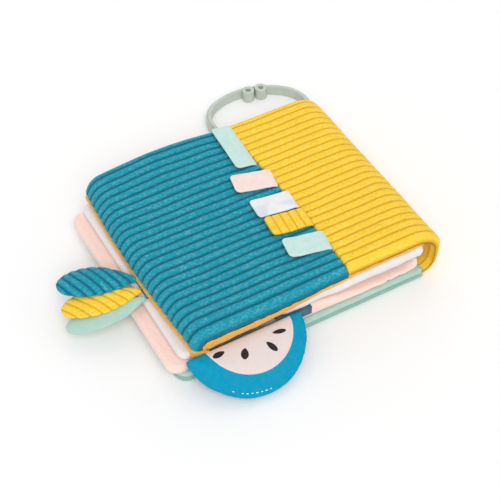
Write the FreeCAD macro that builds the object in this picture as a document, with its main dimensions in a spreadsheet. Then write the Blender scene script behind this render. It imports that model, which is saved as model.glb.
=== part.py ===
"""A soft cloth activity book, closed and lying on its back cover.

The frame: the origin is on the back cover's underside, midway along the spine. +X runs from
the open fore-edge to the rounded spine, +Y runs along the spine to the end that carries the
ring, and +Z is up. All sizes are millimetres.

The book is a padded back cover, one block of padded pages, a ribbed cloth spine and a padded
ribbed front cover. The front cover carries a row of cloth tags and a bunch of leaves, a half
fruit hangs out of the pages, and a split plastic ring hangs in a ribbon loop.
"""

import FreeCAD
import Part
import Sketcher

import math
import os

from FreeCAD import Placement, Rotation, Vector

# Driving dimensions of the covers and the spine, in mm and degrees
BOOK_DEPTH = 160
BACK_END = 94
BACK_LENGTH = 184
FRONT_LENGTH = 184
BOOK_HEIGHT = 43.6
SPINE_SHOULDER = 20
SPINE_FOOT = 14
NOSE_RADIUS = 18
CLOTH_SKIN = 6.5
LINING_SKIN = 5.5
BACK_SKIN = 4
CORNER_RADIUS = 9
COVER_CORNER = 4
SEAM_FROM_SPINE = 73
SEAM_STEP = 1
SEAM_GAP = 0.2
EDGE_ROUND = 2.2

# Driving dimensions of the ribs
RIB_PITCH = 6.4
RIB_HEIGHT = 1.3
EDGE_DROP = 5.2
EDGE_CURL = 3.4
CURL_SHOULDER = 1
CURL_SHOULDER_DROP = 2.1
RIB_CREST = 3

# Driving dimensions of the pages
PAGE_INSET = 2
PINK_OVERHANG = 17.5
WHITE_OVERHANG = 9
PINK_THICKNESS = 11.4
LEAF_GAP = 0.9
PAGE_DROOP = 3.7
PAGE_CLEARANCE = 0.3
DROOP_LENGTH = 8
WHITE_SLOPE = 10
WHITE_SHELF = 8
PINK_SHELF = 14
PAGE_FOOT_ROUND = 7
PAGE_SHOULDER_ROUND = 9
LINING_INSET = 1
BEND_GAP = 5.5
BEND_LENGTH = 40
BEND_WALL = 7

# Driving dimensions of the half fruit
FRUIT_RADIUS = 41
FRUIT_SET_BACK = 3
FRUIT_THICKNESS = 11
FRUIT_CORNER = 7
FRUIT_EDGE_ROUND = 3.2
FRUIT_ACROSS = -42.4
FRUIT_TILT = 24.8
FLESH_RADIUS = 29.5
FLESH_ACROSS = 1.5
FLESH_MARGIN = 0.4
FLESH_THICKNESS = 0.7
SEED_LENGTH = 8.4
SEED_WIDTH = 4
SEED_FLANK = 12.6
SEED_ROUND = 2.05
SEED_THICKNESS = 0.6
STRAP_LENGTH = 26
STRAP_ACROSS = -4
STRAP_REACH = 16
STRAP_DROP = 6.5
RIBBON_SKIN = 0.6

# Driving dimensions of the tags and the leaves
TAG_WIDTH = 17
TAG_LENGTH = 27.5
TAG_PLY = 0.9
TAG_FOLD = 0.5
WIDE_TAG_WIDTH = 43
WIDE_TAG_LENGTH = 14.5
TAG_LIFT = 0.3
LEAF_THICKNESS = 2.8
LEAF_ROOT = 6
LEAF_GROOVE = 0.7
LEAF_TIP = 7.6
LEAF_RIB = 5.4
LEAF_FLANK = 1.1
RIB_SLANT = 35
TAB_LENGTH = 27
TAB_ACROSS = -12.5
TAB_REACH = 9.5
TAB_TAIL = 9
TAB_THICKNESS = 1.6

# Driving dimensions of the ring and its loop
RING_LENGTH = 77.4
RING_WIDTH = 56.6
RING_END_RADIUS = 24
RING_BAND = 2.4
RING_RIB = 1.5
RING_HEIGHT = 7.5
RING_RIB_HEIGHT = 4.2
RING_SPLIT = 0.9
EYELET_RADIUS = 4.7
EYELET_BORE = 2.1
EYELET_HEIGHT = 8.4
EYELET_INSET = 3.4
RING_TURN = -11
RING_TILT = 1.4
SPLIT_ACROSS = 4.4
LOOP_IN = 23
LOOP_BORE = 5.6
FLOOR_GAP = 0.1
LOOP_WIDTH = 12
LOOP_TAIL = 7
SLOT_CLEARANCE = 0.1

doc = FreeCAD.newDocument("cloth_book")
sheet = doc.addObject("Spreadsheet::Sheet", "sizes")


class Size:
    """A length or angle that holds both its number and its formula on the sheet."""

    def __init__(self, number, formula=None):
        self.number = float(number)
        self.formula = formula if formula else f"{float(number):.9g}"

    def joined(self, other, sign, number):
        other = other if isinstance(other, Size) else Size(other)
        return Size(number(self.number, other.number), f"({self.formula} {sign} {other.formula})")

    def __add__(self, other):
        return self.joined(other, "+", lambda a, b: a + b)

    def __sub__(self, other):
        return self.joined(other, "-", lambda a, b: a - b)

    def __mul__(self, other):
        return self.joined(other, "*", lambda a, b: a * b)

    def __truediv__(self, other):
        return self.joined(other, "/", lambda a, b: a / b)

    def __neg__(self):
        return self * -1


def root(size):
    """The square root of a size."""
    return Size(math.sqrt(size.number), f"sqrt({size.formula})")


def cosine(angle):
    """The cosine of an angle in degrees."""
    return Size(math.cos(math.radians(angle.number)), f"cos({angle.formula} * 1deg)")


def sine(angle):
    """The sine of an angle in degrees."""
    return Size(math.sin(math.radians(angle.number)), f"sin({angle.formula} * 1deg)")


next_row = [1]


def driving(alias, number, note):
    """Writes one driving dimension to the sheet and gives it back as a Size."""
    row = next_row[0]
    next_row[0] += 1
    sheet.set(f"A{row}", note)
    sheet.set(f"B{row}", str(number))
    sheet.setAlias(f"B{row}", alias)
    return Size(number, f"sizes.{alias}")


book_depth = driving("book_depth", BOOK_DEPTH, "length of the spine")
back_end = driving("back_end", BACK_END, "origin to the back cover's end at the spine")
back_length = driving("back_length", BACK_LENGTH, "back cover, fore-edge to spine foot")
front_length = driving("front_length", FRONT_LENGTH, "front cover and spine, fore-edge to outside")
book_height = driving("book_height", BOOK_HEIGHT, "floor to the crests on the ribbed spine cloth")
spine_shoulder = driving("spine_shoulder", SPINE_SHOULDER, "outer radius of the cloth over the shoulder")
spine_foot = driving("spine_foot", SPINE_FOOT, "outer radius of the cloth under the foot")
nose_radius = driving("nose_radius", NOSE_RADIUS, "outer radius of the front cover's fore-edge")
cloth_skin = driving("cloth_skin", CLOTH_SKIN, "padded ribbed cloth, crest to inside")
lining_skin = driving("lining_skin", LINING_SKIN, "padded lining of the front cover")
back_skin = driving("back_skin", BACK_SKIN, "each of the back cover's two padded cloths")
corner_radius = driving("corner_radius", CORNER_RADIUS, "rounded corners of back cover and pages")
cover_corner = driving("cover_corner", COVER_CORNER, "rounded corners of the front cover")
seam_from_spine = driving(
    "seam_from_spine", SEAM_FROM_SPINE, "teal and mustard seam to the spine's outside"
)
seam_step = driving("seam_step", SEAM_STEP, "how far the mustard cloth stands above the teal")
seam_gap = driving("seam_gap", SEAM_GAP, "clearance between cloths that are sewn edge to edge")
edge_round = driving("edge_round", EDGE_ROUND, "rounding of the back cover's outer edges")
rib_pitch = driving("rib_pitch", RIB_PITCH, "one rib of the corduroy to the next")
rib_height = driving("rib_height", RIB_HEIGHT, "height of a rib over the groove beside it")
edge_drop = driving("edge_drop", EDGE_DROP, "how far the outermost rib curls down")
edge_curl = driving("edge_curl", EDGE_CURL, "width of the outermost rib's curl")
curl_shoulder = driving("curl_shoulder", CURL_SHOULDER, "outermost facet of that curl, across")
curl_shoulder_drop = driving("curl_shoulder_drop", CURL_SHOULDER_DROP, "its upper edge below the crests")
rib_crest = driving("rib_crest", RIB_CREST, "width of a rib's crest")
page_inset = driving("page_inset", PAGE_INSET, "pages in from the ends of the covers")
pink_overhang = driving("pink_overhang", PINK_OVERHANG, "pink leaf beyond the front cover")
white_overhang = driving("white_overhang", WHITE_OVERHANG, "white leaf beyond the front cover")
pink_thickness = driving("pink_thickness", PINK_THICKNESS, "pink padded leaf")
leaf_gap = driving("leaf_gap", LEAF_GAP, "between the two leaves")
page_droop = driving("page_droop", PAGE_DROOP, "how far the leaves sink at the fore-edge")
page_clearance = driving("page_clearance", PAGE_CLEARANCE, "between the pages and the covers")
droop_length = driving("droop_length", DROOP_LENGTH, "leaves level again this far past the fore-edge curl")
white_slope = driving("white_slope", WHITE_SLOPE, "length over which the white leaf sinks")
white_shelf = driving("white_shelf", WHITE_SHELF, "sunk part of the white leaf, out from the curl's centre")
pink_shelf = driving("pink_shelf", PINK_SHELF, "sunk part of the pink leaf, out from the curl's centre")
page_foot_round = driving("page_foot_round", PAGE_FOOT_ROUND, "pages' rounding at the foot of the spine")
page_shoulder_round = driving("page_shoulder_round", PAGE_SHOULDER_ROUND, "pages' rounding at its shoulder")
lining_inset = driving("lining_inset", LINING_INSET, "lining in from the ends of the ribbed cloth")
bend_gap = driving("bend_gap", BEND_GAP, "height of the hollow where the leaves fold at the spine")
bend_length = driving("bend_length", BEND_LENGTH, "length of that hollow")
bend_wall = driving("bend_wall", BEND_WALL, "thickness of the fold at the spine")
fruit_radius = driving("fruit_radius", FRUIT_RADIUS, "round edge of the half fruit")
fruit_set_back = driving("fruit_set_back", FRUIT_SET_BACK, "centre of that edge behind the straight edge")
fruit_thickness = driving("fruit_thickness", FRUIT_THICKNESS, "stuffed half fruit")
fruit_corner = driving("fruit_corner", FRUIT_CORNER, "rounded corners of the half fruit")
fruit_edge_round = driving("fruit_edge_round", FRUIT_EDGE_ROUND, "bevel of its edges")
fruit_across = driving("fruit_across", FRUIT_ACROSS, "middle of the fruit along the near edge")
fruit_tilt = driving("fruit_tilt", FRUIT_TILT, "slope of the fruit down to the floor")
flesh_radius = driving("flesh_radius", FLESH_RADIUS, "round pale patch")
flesh_across = driving("flesh_across", FLESH_ACROSS, "middle of the patch from the middle of the fruit")
flesh_margin = driving("flesh_margin", FLESH_MARGIN, "patch in from the fruit's bevel")
flesh_thickness = driving("flesh_thickness", FLESH_THICKNESS, "round pale patch")
seed_length = driving("seed_length", SEED_LENGTH, "embroidered seed")
seed_width = driving("seed_width", SEED_WIDTH, "embroidered seed")
seed_flank = driving("seed_flank", SEED_FLANK, "radius of a seed's sides")
seed_round = driving("seed_round", SEED_ROUND, "radius of a seed's blunt end")
seed_thickness = driving("seed_thickness", SEED_THICKNESS, "embroidered seed")
strap_length = driving("strap_length", STRAP_LENGTH, "ribbon from the fruit to the pink leaf")
strap_across = driving("strap_across", STRAP_ACROSS, "middle of the ribbon along the near edge")
strap_reach = driving("strap_reach", STRAP_REACH, "ribbon between the leaves")
strap_drop = driving("strap_drop", STRAP_DROP, "ribbon down the pink leaf's edge")
ribbon_skin = driving("ribbon_skin", RIBBON_SKIN, "thickness of the ribbons")
tag_width = driving("tag_width", TAG_WIDTH, "short tags, along the seam")
tag_length = driving("tag_length", TAG_LENGTH, "short tags, out from the seam")
tag_ply = driving("tag_ply", TAG_PLY, "one layer of a folded tag")
tag_fold = driving("tag_fold", TAG_FOLD, "hollow between the layers of a tag")
wide_tag_width = driving("wide_tag_width", WIDE_TAG_WIDTH, "wide tag, along the seam")
wide_tag_length = driving("wide_tag_length", WIDE_TAG_LENGTH, "wide tag, out from the seam")
tag_lift = driving("tag_lift", TAG_LIFT, "tags above the crests of the ribs")
leaf_thickness = driving("leaf_thickness", LEAF_THICKNESS, "cloth leaves")
leaf_root = driving("leaf_root", LEAF_ROOT, "leaves where they are sewn on")
leaf_groove = driving("leaf_groove", LEAF_GROOVE, "depth of the grooves in the ribbed leaves")
leaf_tip = driving("leaf_tip", LEAF_TIP, "radius of a leaf's blunt tip")
leaf_rib = driving("leaf_rib", LEAF_RIB, "one rib of a leaf to the next")
leaf_flank = driving("leaf_flank", LEAF_FLANK, "width of a leaf rib's sloping side")
rib_slant = driving("rib_slant", RIB_SLANT, "slant of the ribs across a leaf")
tab_length = driving("tab_length", TAB_LENGTH, "cloth tab that holds the leaves")
tab_across = driving("tab_across", TAB_ACROSS, "middle of the tab along the fore-edge")
tab_reach = driving("tab_reach", TAB_REACH, "tab out beyond the front cover")
tab_tail = driving("tab_tail", TAB_TAIL, "tab in under the front cover")
tab_thickness = driving("tab_thickness", TAB_THICKNESS, "cloth tab")
ring_length = driving("ring_length", RING_LENGTH, "ring along the book, at the middle of its band")
ring_width = driving("ring_width", RING_WIDTH, "ring away from the book, at the middle of its band")
ring_end_radius = driving("ring_end_radius", RING_END_RADIUS, "ring at its narrow ends")
ring_band = driving("ring_band", RING_BAND, "radial thickness of the band")
ring_rib = driving("ring_rib", RING_RIB, "how far the outer rib stands out of the band")
ring_height = driving("ring_height", RING_HEIGHT, "height of the band")
ring_rib_height = driving("ring_rib_height", RING_RIB_HEIGHT, "height of the outer rib")
ring_split = driving("ring_split", RING_SPLIT, "gap between the ring's ends")
eyelet_radius = driving("eyelet_radius", EYELET_RADIUS, "eyelets at the ring's ends")
eyelet_bore = driving("eyelet_bore", EYELET_BORE, "hole through each eyelet")
eyelet_height = driving("eyelet_height", EYELET_HEIGHT, "height of the eyelets")
eyelet_inset = driving("eyelet_inset", EYELET_INSET, "eyelets inside the middle of the band")
ring_turn = driving("ring_turn", RING_TURN, "ring turned about its own axis")
ring_tilt = driving("ring_tilt", RING_TILT, "slope of the ring down to the floor")
split_across = driving("split_across", SPLIT_ACROSS, "the ring's split from its middle")
loop_in = driving("loop_in", LOOP_IN, "ribbon loop in from the outside of the spine")
loop_bore = driving("loop_bore", LOOP_BORE, "inner radius of the ribbon loop")
floor_gap = driving("floor_gap", FLOOR_GAP, "ring and loop above the floor")
loop_width = driving("loop_width", LOOP_WIDTH, "width of the ribbon loop")
loop_tail = driving("loop_tail", LOOP_TAIL, "ribbon sewn into the back cover")
slot_clearance = driving("slot_clearance", SLOT_CLEARANCE, "slot round the sewn-in ribbon")

# Places that follow from the driving dimensions
half_depth = book_depth / 2
back_edge = back_end - back_length
spine_out = back_end + spine_foot
fore_edge = spine_out - front_length
shoulder_x = spine_out - spine_shoulder
seam_x = spine_out - seam_from_spine
shoulder_z = book_height - spine_shoulder
teal_top = book_height - seam_step
nose_x = fore_edge + nose_radius
nose_z = teal_top - nose_radius
back_top = back_skin * 2
lining_top = teal_top - cloth_skin
page_top = lining_top - lining_skin - page_clearance
page_depth = book_depth - page_inset * 2
page_end = spine_out - cloth_skin - lining_skin - page_clearance
pink_top = back_top + pink_thickness
rib_count = int(round(book_depth.number / rib_pitch.number))
half_gap = seam_gap * 0.7
foot_cut = spine_foot / root(Size(2))
spare = Size(5)
tolerance = 0.01
strap_face = page_depth / 2 + seam_gap + ribbon_skin
loop_x = spine_out - loop_in
loop_y = half_depth + loop_bore + ribbon_skin + page_clearance
loop_z = loop_bore + ribbon_skin + floor_gap

# The ring passes through its loop where the turned oval comes nearest to the book
ring_lean = (ring_length / 2) * (ring_length / 2) * sine(ring_turn) * sine(ring_turn)
ring_lean = ring_lean + (ring_width / 2) * (ring_width / 2) * cosine(ring_turn) * cosine(ring_turn)
ring_drop = root(ring_lean)
ring_slide = (ring_length * ring_length - ring_width * ring_width) / 4
ring_slide = ring_slide * sine(ring_turn) * cosine(ring_turn) / ring_drop
ring_across = loop_x + ring_slide

# Each seed: along the straight edge, down from it, and the way its round end points
seeds = []
for seed_number, spot in enumerate(((-17.4, 3.1, 176), (-4.7, 6.5, 120), (10.6, 8.9, 63), (17.1, 4.9, 11))):
    seed_name = f"seed_{seed_number + 1}"
    seeds.append(
        (
            driving(f"{seed_name}_along", spot[0], "seed along the straight edge"),
            driving(f"{seed_name}_down", spot[1], "seed's point down from it"),
            driving(f"{seed_name}_turn", spot[2], "way the seed points"),
        )
    )

# Each tag: where it leaves the seam, how far it is turned, and its width and length
tag_sizes = []
for tag_name, tag_across, tag_turn, across_size, along_size in (
    ("wide_mint_tag", 56, 3, wide_tag_width, wide_tag_length),
    ("pink_tag", 18.5, 11, tag_width, tag_length),
    ("white_tag", -6, 4, tag_width, tag_length),
    ("mustard_tag", -25.6, 5, tag_width, tag_length),
    ("mint_tag", -49.5, 9, tag_width, tag_length),
):
    tag_sizes.append(
        (
            tag_name,
            driving(f"{tag_name}_across", tag_across, "middle of the tag along the seam"),
            driving(f"{tag_name}_turn", tag_turn, "turn of the tag"),
            across_size,
            along_size,
        )
    )

# Each leaf: its root, turn, droop, length and width, and whether it is ribbed
leaf_sizes = []
for leaf_name, leaf_start, leaf_across, leaf_turn, leaf_droop, leaf_long, leaf_wide, leaf_ribbed in (
    ("leaf_teal", fore_edge - page_clearance, -5, 27, 4, 52, 23, True),
    ("leaf_mustard", fore_edge - tab_reach - page_clearance, -15, 20, 9, 47, 21, True),
    ("leaf_mint", fore_edge - tab_reach - page_clearance, -22, 14, 13, 49, 20, False),
):
    leaf_sizes.append(
        (
            leaf_name,
            leaf_start,
            driving(f"{leaf_name}_across", leaf_across, "leaf's root along the fore-edge"),
            driving(f"{leaf_name}_turn", leaf_turn, "turn of the leaf"),
            driving(f"{leaf_name}_droop", leaf_droop, "slope of the leaf down to its tip"),
            driving(f"{leaf_name}_length", leaf_long, "leaf, root to tip"),
            driving(f"{leaf_name}_width", leaf_wide, "leaf at its widest"),
            leaf_ribbed,
        )
    )
doc.recompute()


def bind(thing, prop, size):
    """Binds a property to a sheet formula."""
    thing.setExpression(prop, size.formula)


def body(label):
    """A new body, which becomes one piece of the book."""
    made = doc.addObject("PartDesign::Body", label)
    made.Label = label
    return made


def sketch_on(owner, plane, name, height=None):
    """A sketch on one of the body's own origin planes, lifted along its normal by height."""
    made = owner.newObject("Sketcher::SketchObject", name)
    face = next(f for f in owner.Origin.OriginFeatures if f.Role == plane)
    made.AttachmentSupport = [(face, "")]
    made.MapMode = "FlatFace"
    if height is not None:
        bind(made, "AttachmentOffset.Base.z", height)
    return made


def arc_between(start, end, radius, turn):
    """The short arc from start to end; turn is 1 anticlockwise and -1 clockwise."""
    middle = (start + end) / 2
    chord = end - start
    rise = math.sqrt(max(radius * radius - chord.Length**2 / 4, 0))
    left = Vector(-chord.y, chord.x, 0).normalize()
    centre = middle + left * rise * turn
    first, last = (start, end) if turn > 0 else (end, start)
    begin = math.atan2(first.y - centre.y, first.x - centre.x)
    finish = math.atan2(last.y - centre.y, last.x - centre.x)
    if finish <= begin:
        finish += 2 * math.pi
    circle = Part.Circle(centre, Vector(0, 0, 1), radius)
    return Part.ArcOfCircle(circle, begin, finish)


def constrain(sketch, kind, *facts, size=None):
    """Adds one constraint, bound to a size if it has one."""
    if size is None:
        return sketch.addConstraint(Sketcher.Constraint(kind, *facts))
    number = sketch.addConstraint(Sketcher.Constraint(kind, *facts, size.number))
    bind(sketch, f"Constraints[{number}]", size)
    return number


def trace(sketch, corners, arcs=None, closed=True):
    """Draws straight and round edges through the corners, each pinned from the origin.

    corners is a list of (size, size). arcs maps the number of an edge to (radius, turn).
    """
    arcs = arcs or {}
    spots = [Vector(x.number, y.number, 0) for x, y in corners]
    edges = len(spots) if closed else len(spots) - 1
    ends = []
    for i in range(edges):
        start, end = spots[i], spots[(i + 1) % len(spots)]
        if i in arcs:
            radius, turn = arcs[i]
            line = sketch.addGeometry(arc_between(start, end, radius.number, turn))
            constrain(sketch, "Radius", line, size=radius)
            ends.append((line, 1, 2) if turn > 0 else (line, 2, 1))
        else:
            line = sketch.addGeometry(Part.LineSegment(start, end))
            ends.append((line, 1, 2))
    for i in range(edges):
        if closed or i + 1 < edges:
            after = ends[(i + 1) % edges]
            constrain(sketch, "Coincident", ends[i][0], ends[i][2], after[0], after[1])
    for i, (x, y) in enumerate(corners):
        line, point = (ends[i][0], ends[i][1]) if i < edges else (ends[-1][0], ends[-1][2])
        constrain(sketch, "DistanceX", -1, 1, line, point, size=x)
        constrain(sketch, "DistanceY", -1, 1, line, point, size=y)


def fore_rounded_outline(sketch, low_x, high_x, low_y, high_y, radius):
    """A rectangle whose two corners at the fore-edge are rounded."""
    corners = [
        (low_x + radius, low_y),
        (high_x, low_y),
        (high_x, high_y),
        (low_x + radius, high_y),
        (low_x, high_y - radius),
        (low_x, low_y + radius),
    ]
    trace(sketch, corners, {3: (radius, 1), 5: (radius, 1)})


def pad(owner, profile, name, length, both_ways=False):
    """Pads a sketch by a length, to one side or half to each side."""
    made = owner.newObject("PartDesign::Pad", name)
    made.Profile = profile
    made.Length = length.number
    bind(made, "Length", length)
    made.Midplane = both_ways
    return made


def pocket(owner, profile, name, depth):
    """Cuts a sketch half the depth to each side of its plane."""
    made = owner.newObject("PartDesign::Pocket", name)
    made.Profile = profile
    made.Length = depth.number
    made.Midplane = True
    bind(made, "Length", depth)
    return made


def pipe(owner, profile, path, name):
    """Sweeps a section along a flat path without twisting it."""
    made = owner.newObject("PartDesign::AdditivePipe", name)
    made.Profile = profile
    made.Spine = (path, [f"Edge{i + 1}" for i in range(path.GeometryCount)])
    return made


def fillet_where(owner, base, name, radius, wanted):
    """Fillets the edges of a feature that wanted(edge) picks."""
    doc.recompute()
    picked = [f"Edge{i + 1}" for i, edge in enumerate(base.Shape.Edges) if wanted(edge)]
    made = owner.newObject("PartDesign::Fillet", name)
    made.Base = (base, picked)
    made.Radius = radius.number
    bind(made, "Radius", radius)
    return made


def bevel_where(owner, base, name, size, wanted):
    """Bevels the edges of a feature that wanted(edge) picks."""
    doc.recompute()
    made = owner.newObject("PartDesign::Chamfer", name)
    made.Base = (base, [f"Edge{i + 1}" for i, edge in enumerate(base.Shape.Edges) if wanted(edge)])
    made.Size = size.number
    bind(made, "Size", size)
    return made


def level_edges(height):
    """Picks the edges that lie flat at a height."""

    def wanted(edge):
        box = edge.BoundBox
        return abs(box.ZMin - height.number) < tolerance and abs(box.ZMax - height.number) < tolerance

    return wanted


def kept_within(label, whole, limit):
    """The part of one solid that lies inside another."""
    made = doc.addObject("Part::MultiCommon", label)
    made.Label = label
    made.Shapes = [whole, limit]
    return made


def cut_from(label, whole, tool):
    """One solid less another."""
    made = doc.addObject("Part::Cut", label)
    made.Label = label
    made.Base = whole
    made.Tool = tool
    return made


def ribbed_section(sketch, top):
    """The cross-section of padded corduroy: a row of ribs over a flat inside."""
    valley = top - rib_height
    low = top - cloth_skin
    flank = (rib_pitch - rib_crest) / 2
    corners = [
        (-half_depth, low),
        (-half_depth, top - edge_drop),
        (curl_shoulder - half_depth, top - curl_shoulder_drop),
        (edge_curl - half_depth, top),
    ]
    for i in range(1, rib_count):
        groove = rib_pitch * i - half_depth
        if i > 1:
            corners.append((groove - rib_pitch + flank, top))
        corners.append((groove - flank, top))
        corners.append((groove, valley))
    corners += [
        (half_depth - rib_pitch + flank, top),
        (half_depth - edge_curl, top),
        (half_depth - curl_shoulder, top - curl_shoulder_drop),
        (half_depth, top - edge_drop),
        (half_depth, low),
    ]
    trace(sketch, corners)


def ribbed_cloth(label, start_x, top, steps):
    """Padded corduroy swept along a path that starts at start_x and runs at crest height.

    steps is (corners, arcs) of the open path, as trace takes them.
    """
    made = body(label)
    section = sketch_on(made, "YZ_Plane", f"{label}_section", start_x)
    ribbed_section(section, top)
    path = sketch_on(made, "XZ_Plane", f"{label}_path")
    trace(path, *steps, closed=False)
    pipe(made, section, path, f"{label}_sweep")
    return made


def corner_cuts(owner, name, low_x, half_y, radius, low_z, high_z):
    """Rounds the two upright corners at a fore-edge between two heights."""
    for side in (-1, 1):
        y = half_y * side
        step = radius * side
        cut = sketch_on(owner, "XY_Plane", f"{name}{'_near' if side < 0 else '_far'}", (low_z + high_z) / 2)
        corners = [
            (low_x - spare, y + spare * side),
            (low_x - spare, y - step),
            (low_x, y - step),
            (low_x + radius, y),
            (low_x + radius, y + spare * side),
        ]
        trace(cut, corners, {2: (radius, side * -1)})
        pocket(owner, cut, f"{cut.Label}_cut", high_z - low_z)


def zone(label, corners):
    """An upright slab over the whole depth of the book, which picks a stretch of the wrap."""
    made = body(label)
    outline = sketch_on(made, "XZ_Plane", f"{label}_outline")
    trace(outline, corners)
    pad(made, outline, f"{label}_pad", book_depth + spare * 2, both_ways=True)
    return made


def place(thing, x, y, z, yaw, pitch=0, roll=0):
    """Binds a piece's placement to sizes: where its own origin is and how it is turned."""
    turns = [part if isinstance(part, Size) else Size(part) for part in (yaw, pitch, roll)]
    here = f"vector({x.formula} * 1mm; {y.formula} * 1mm; {z.formula} * 1mm)"
    turned = f"rotation({'; '.join(f'{part.formula} * 1deg' for part in turns)})"
    thing.setExpression("Placement", f"placement({here}; {turned})")


finished = []


def cut_spot(radius, shift):
    """Where a slanted cut, moved along by shift, meets an arc about its own centre."""
    along = (shift + root(radius * radius * 2 - shift * shift)) / 2
    return along, along - shift


def back_cover():
    """Two padded cloths sewn together round their edges, with a slot for the ring's ribbon."""
    slot_half = ribbon_skin / 2 + slot_clearance
    for label, low, outer in (
        ("back_cover_panel", Size(0), Size(0)),
        ("back_cover_lining", back_skin, back_top),
    ):
        cloth = body(label)
        outline = sketch_on(cloth, "XY_Plane", f"{label}_outline", low)
        fore_rounded_outline(outline, back_edge, back_end, -half_depth, half_depth, corner_radius)
        slab = pad(cloth, outline, f"{label}_pad", back_skin)
        bevel_where(cloth, slab, f"{label}_edge", edge_round, level_edges(outer))
        slot = sketch_on(cloth, "YZ_Plane", f"{label}_slot", loop_x)
        corners = [
            (half_depth - loop_tail - slot_clearance, back_skin - slot_half),
            (half_depth + edge_round, back_skin - slot_half),
            (half_depth + edge_round, back_skin + slot_half),
            (half_depth - loop_tail - slot_clearance, back_skin + slot_half),
        ]
        trace(slot, corners)
        pocket(cloth, slot, f"{label}_slot_cut", loop_width + slot_clearance * 2)
        finished.append(cloth)


def pages():
    """The padded leaves, folded at the spine: one block with a hollow where the fold is."""
    block = body("pages")
    section = sketch_on(block, "XZ_Plane", "pages_section")
    pink_low = fore_edge - pink_overhang
    white_low = fore_edge - white_overhang
    pink_edge_top = pink_top - page_droop
    pink_nose = (pink_edge_top - back_top) / 2
    white_bottom = pink_top + leaf_gap
    white_edge_bottom = pink_edge_top + leaf_gap
    white_edge_top = nose_z - tab_thickness - page_clearance
    white_nose = (white_edge_top - white_edge_bottom) / 2
    droop_end = nose_x + droop_length
    bend_end = page_end - bend_wall
    bend_round = bend_gap / 2
    corners = [
        (pink_low + pink_nose, back_top),
        (page_end - page_foot_round, back_top),
        (page_end, back_top + page_foot_round),
        (page_end, page_top - page_shoulder_round),
        (page_end - page_shoulder_round, page_top),
        (nose_x - white_shelf + white_slope, page_top),
        (nose_x - white_shelf, white_edge_top),
        (white_low + white_nose, white_edge_top),
        (white_low, white_edge_top - white_nose),
        (white_low + white_nose, white_edge_bottom),
        (nose_x - pink_shelf, white_edge_bottom),
        (droop_end, white_bottom),
        (bend_end - bend_length, white_bottom),
        (bend_end - bend_length / 2, pink_top + bend_gap),
        (bend_end - bend_round, pink_top + bend_gap),
        (bend_end, pink_top + bend_round),
        (bend_end - bend_round, pink_top),
        (droop_end, pink_top),
        (nose_x - pink_shelf, pink_edge_top),
        (pink_low + pink_nose, pink_edge_top),
        (pink_low, pink_edge_top - pink_nose),
    ]
    arcs = {
        1: (page_foot_round, 1),
        3: (page_shoulder_round, 1),
        7: (white_nose, 1),
        8: (white_nose, 1),
        14: (bend_round, -1),
        15: (bend_round, -1),
        19: (pink_nose, 1),
        20: (pink_nose, 1),
    }
    trace(section, corners, arcs)
    pad(block, section, "pages_pad", page_depth, both_ways=True)
    between = pink_edge_top + leaf_gap / 2
    half_page = page_depth / 2
    corner_cuts(block, "pink_corner", pink_low, half_page, corner_radius, back_top, between)
    corner_cuts(block, "white_corner", white_low, half_page, corner_radius, between, page_top)
    finished.append(block)


def front_cover():
    """Teal corduroy on the cover, mustard corduroy round the spine, and the plain lining."""
    teal_end = seam_x - seam_gap
    corners = [(teal_end, teal_top), (nose_x, teal_top), (fore_edge, nose_z)]
    teal = ribbed_cloth("front_teal_panel", teal_end, teal_top, (corners, {1: (nose_radius, 1)}))
    corner_cuts(teal, "teal_corner", fore_edge, half_depth, cover_corner, nose_z - spare, teal_top + spare)
    finished.append(teal)

    corners = [
        (seam_x, book_height),
        (shoulder_x, book_height),
        (spine_out, shoulder_z),
        (spine_out, spine_foot),
        (back_end + foot_cut, spine_foot - foot_cut),
    ]
    arcs = {1: (spine_shoulder, -1), 3: (spine_foot, -1)}
    wrap = ribbed_cloth("mustard_wrap", seam_x, book_height, (corners, arcs))
    reach = spine_shoulder + spine_foot
    above = zone(
        "cover_zone",
        [
            (shoulder_x - half_gap, shoulder_z),
            (shoulder_x - half_gap + reach, shoulder_z + reach),
            (seam_x - spare, shoulder_z + reach),
            (seam_x - spare, shoulder_z),
        ],
    )
    beside = zone(
        "spine_zone",
        [
            (shoulder_x + half_gap, shoulder_z),
            (back_end + half_gap, spine_foot),
            (back_end + half_gap + reach, spine_foot - reach),
            (shoulder_x + half_gap + reach, shoulder_z + reach),
        ],
    )
    finished.append(kept_within("front_mustard_panel", wrap, above))
    finished.append(kept_within("spine_wrap", wrap, beside))

    foot = body("spine_foot_wrap")
    section = sketch_on(foot, "XZ_Plane", "spine_foot_section")
    out_x, out_z = cut_spot(spine_foot, -half_gap)
    in_x, in_z = cut_spot(spine_foot - cloth_skin, -half_gap)
    corners = [
        (back_end, Size(0)),
        (back_end + out_x, spine_foot - out_z),
        (back_end + in_x, spine_foot - in_z),
        (back_end, cloth_skin),
    ]
    trace(section, corners, {0: (spine_foot, 1), 2: (spine_foot - cloth_skin, -1)})
    pad(foot, section, "spine_foot_pad", book_depth - curl_shoulder * 2, both_ways=True)
    finished.append(foot)


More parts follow.
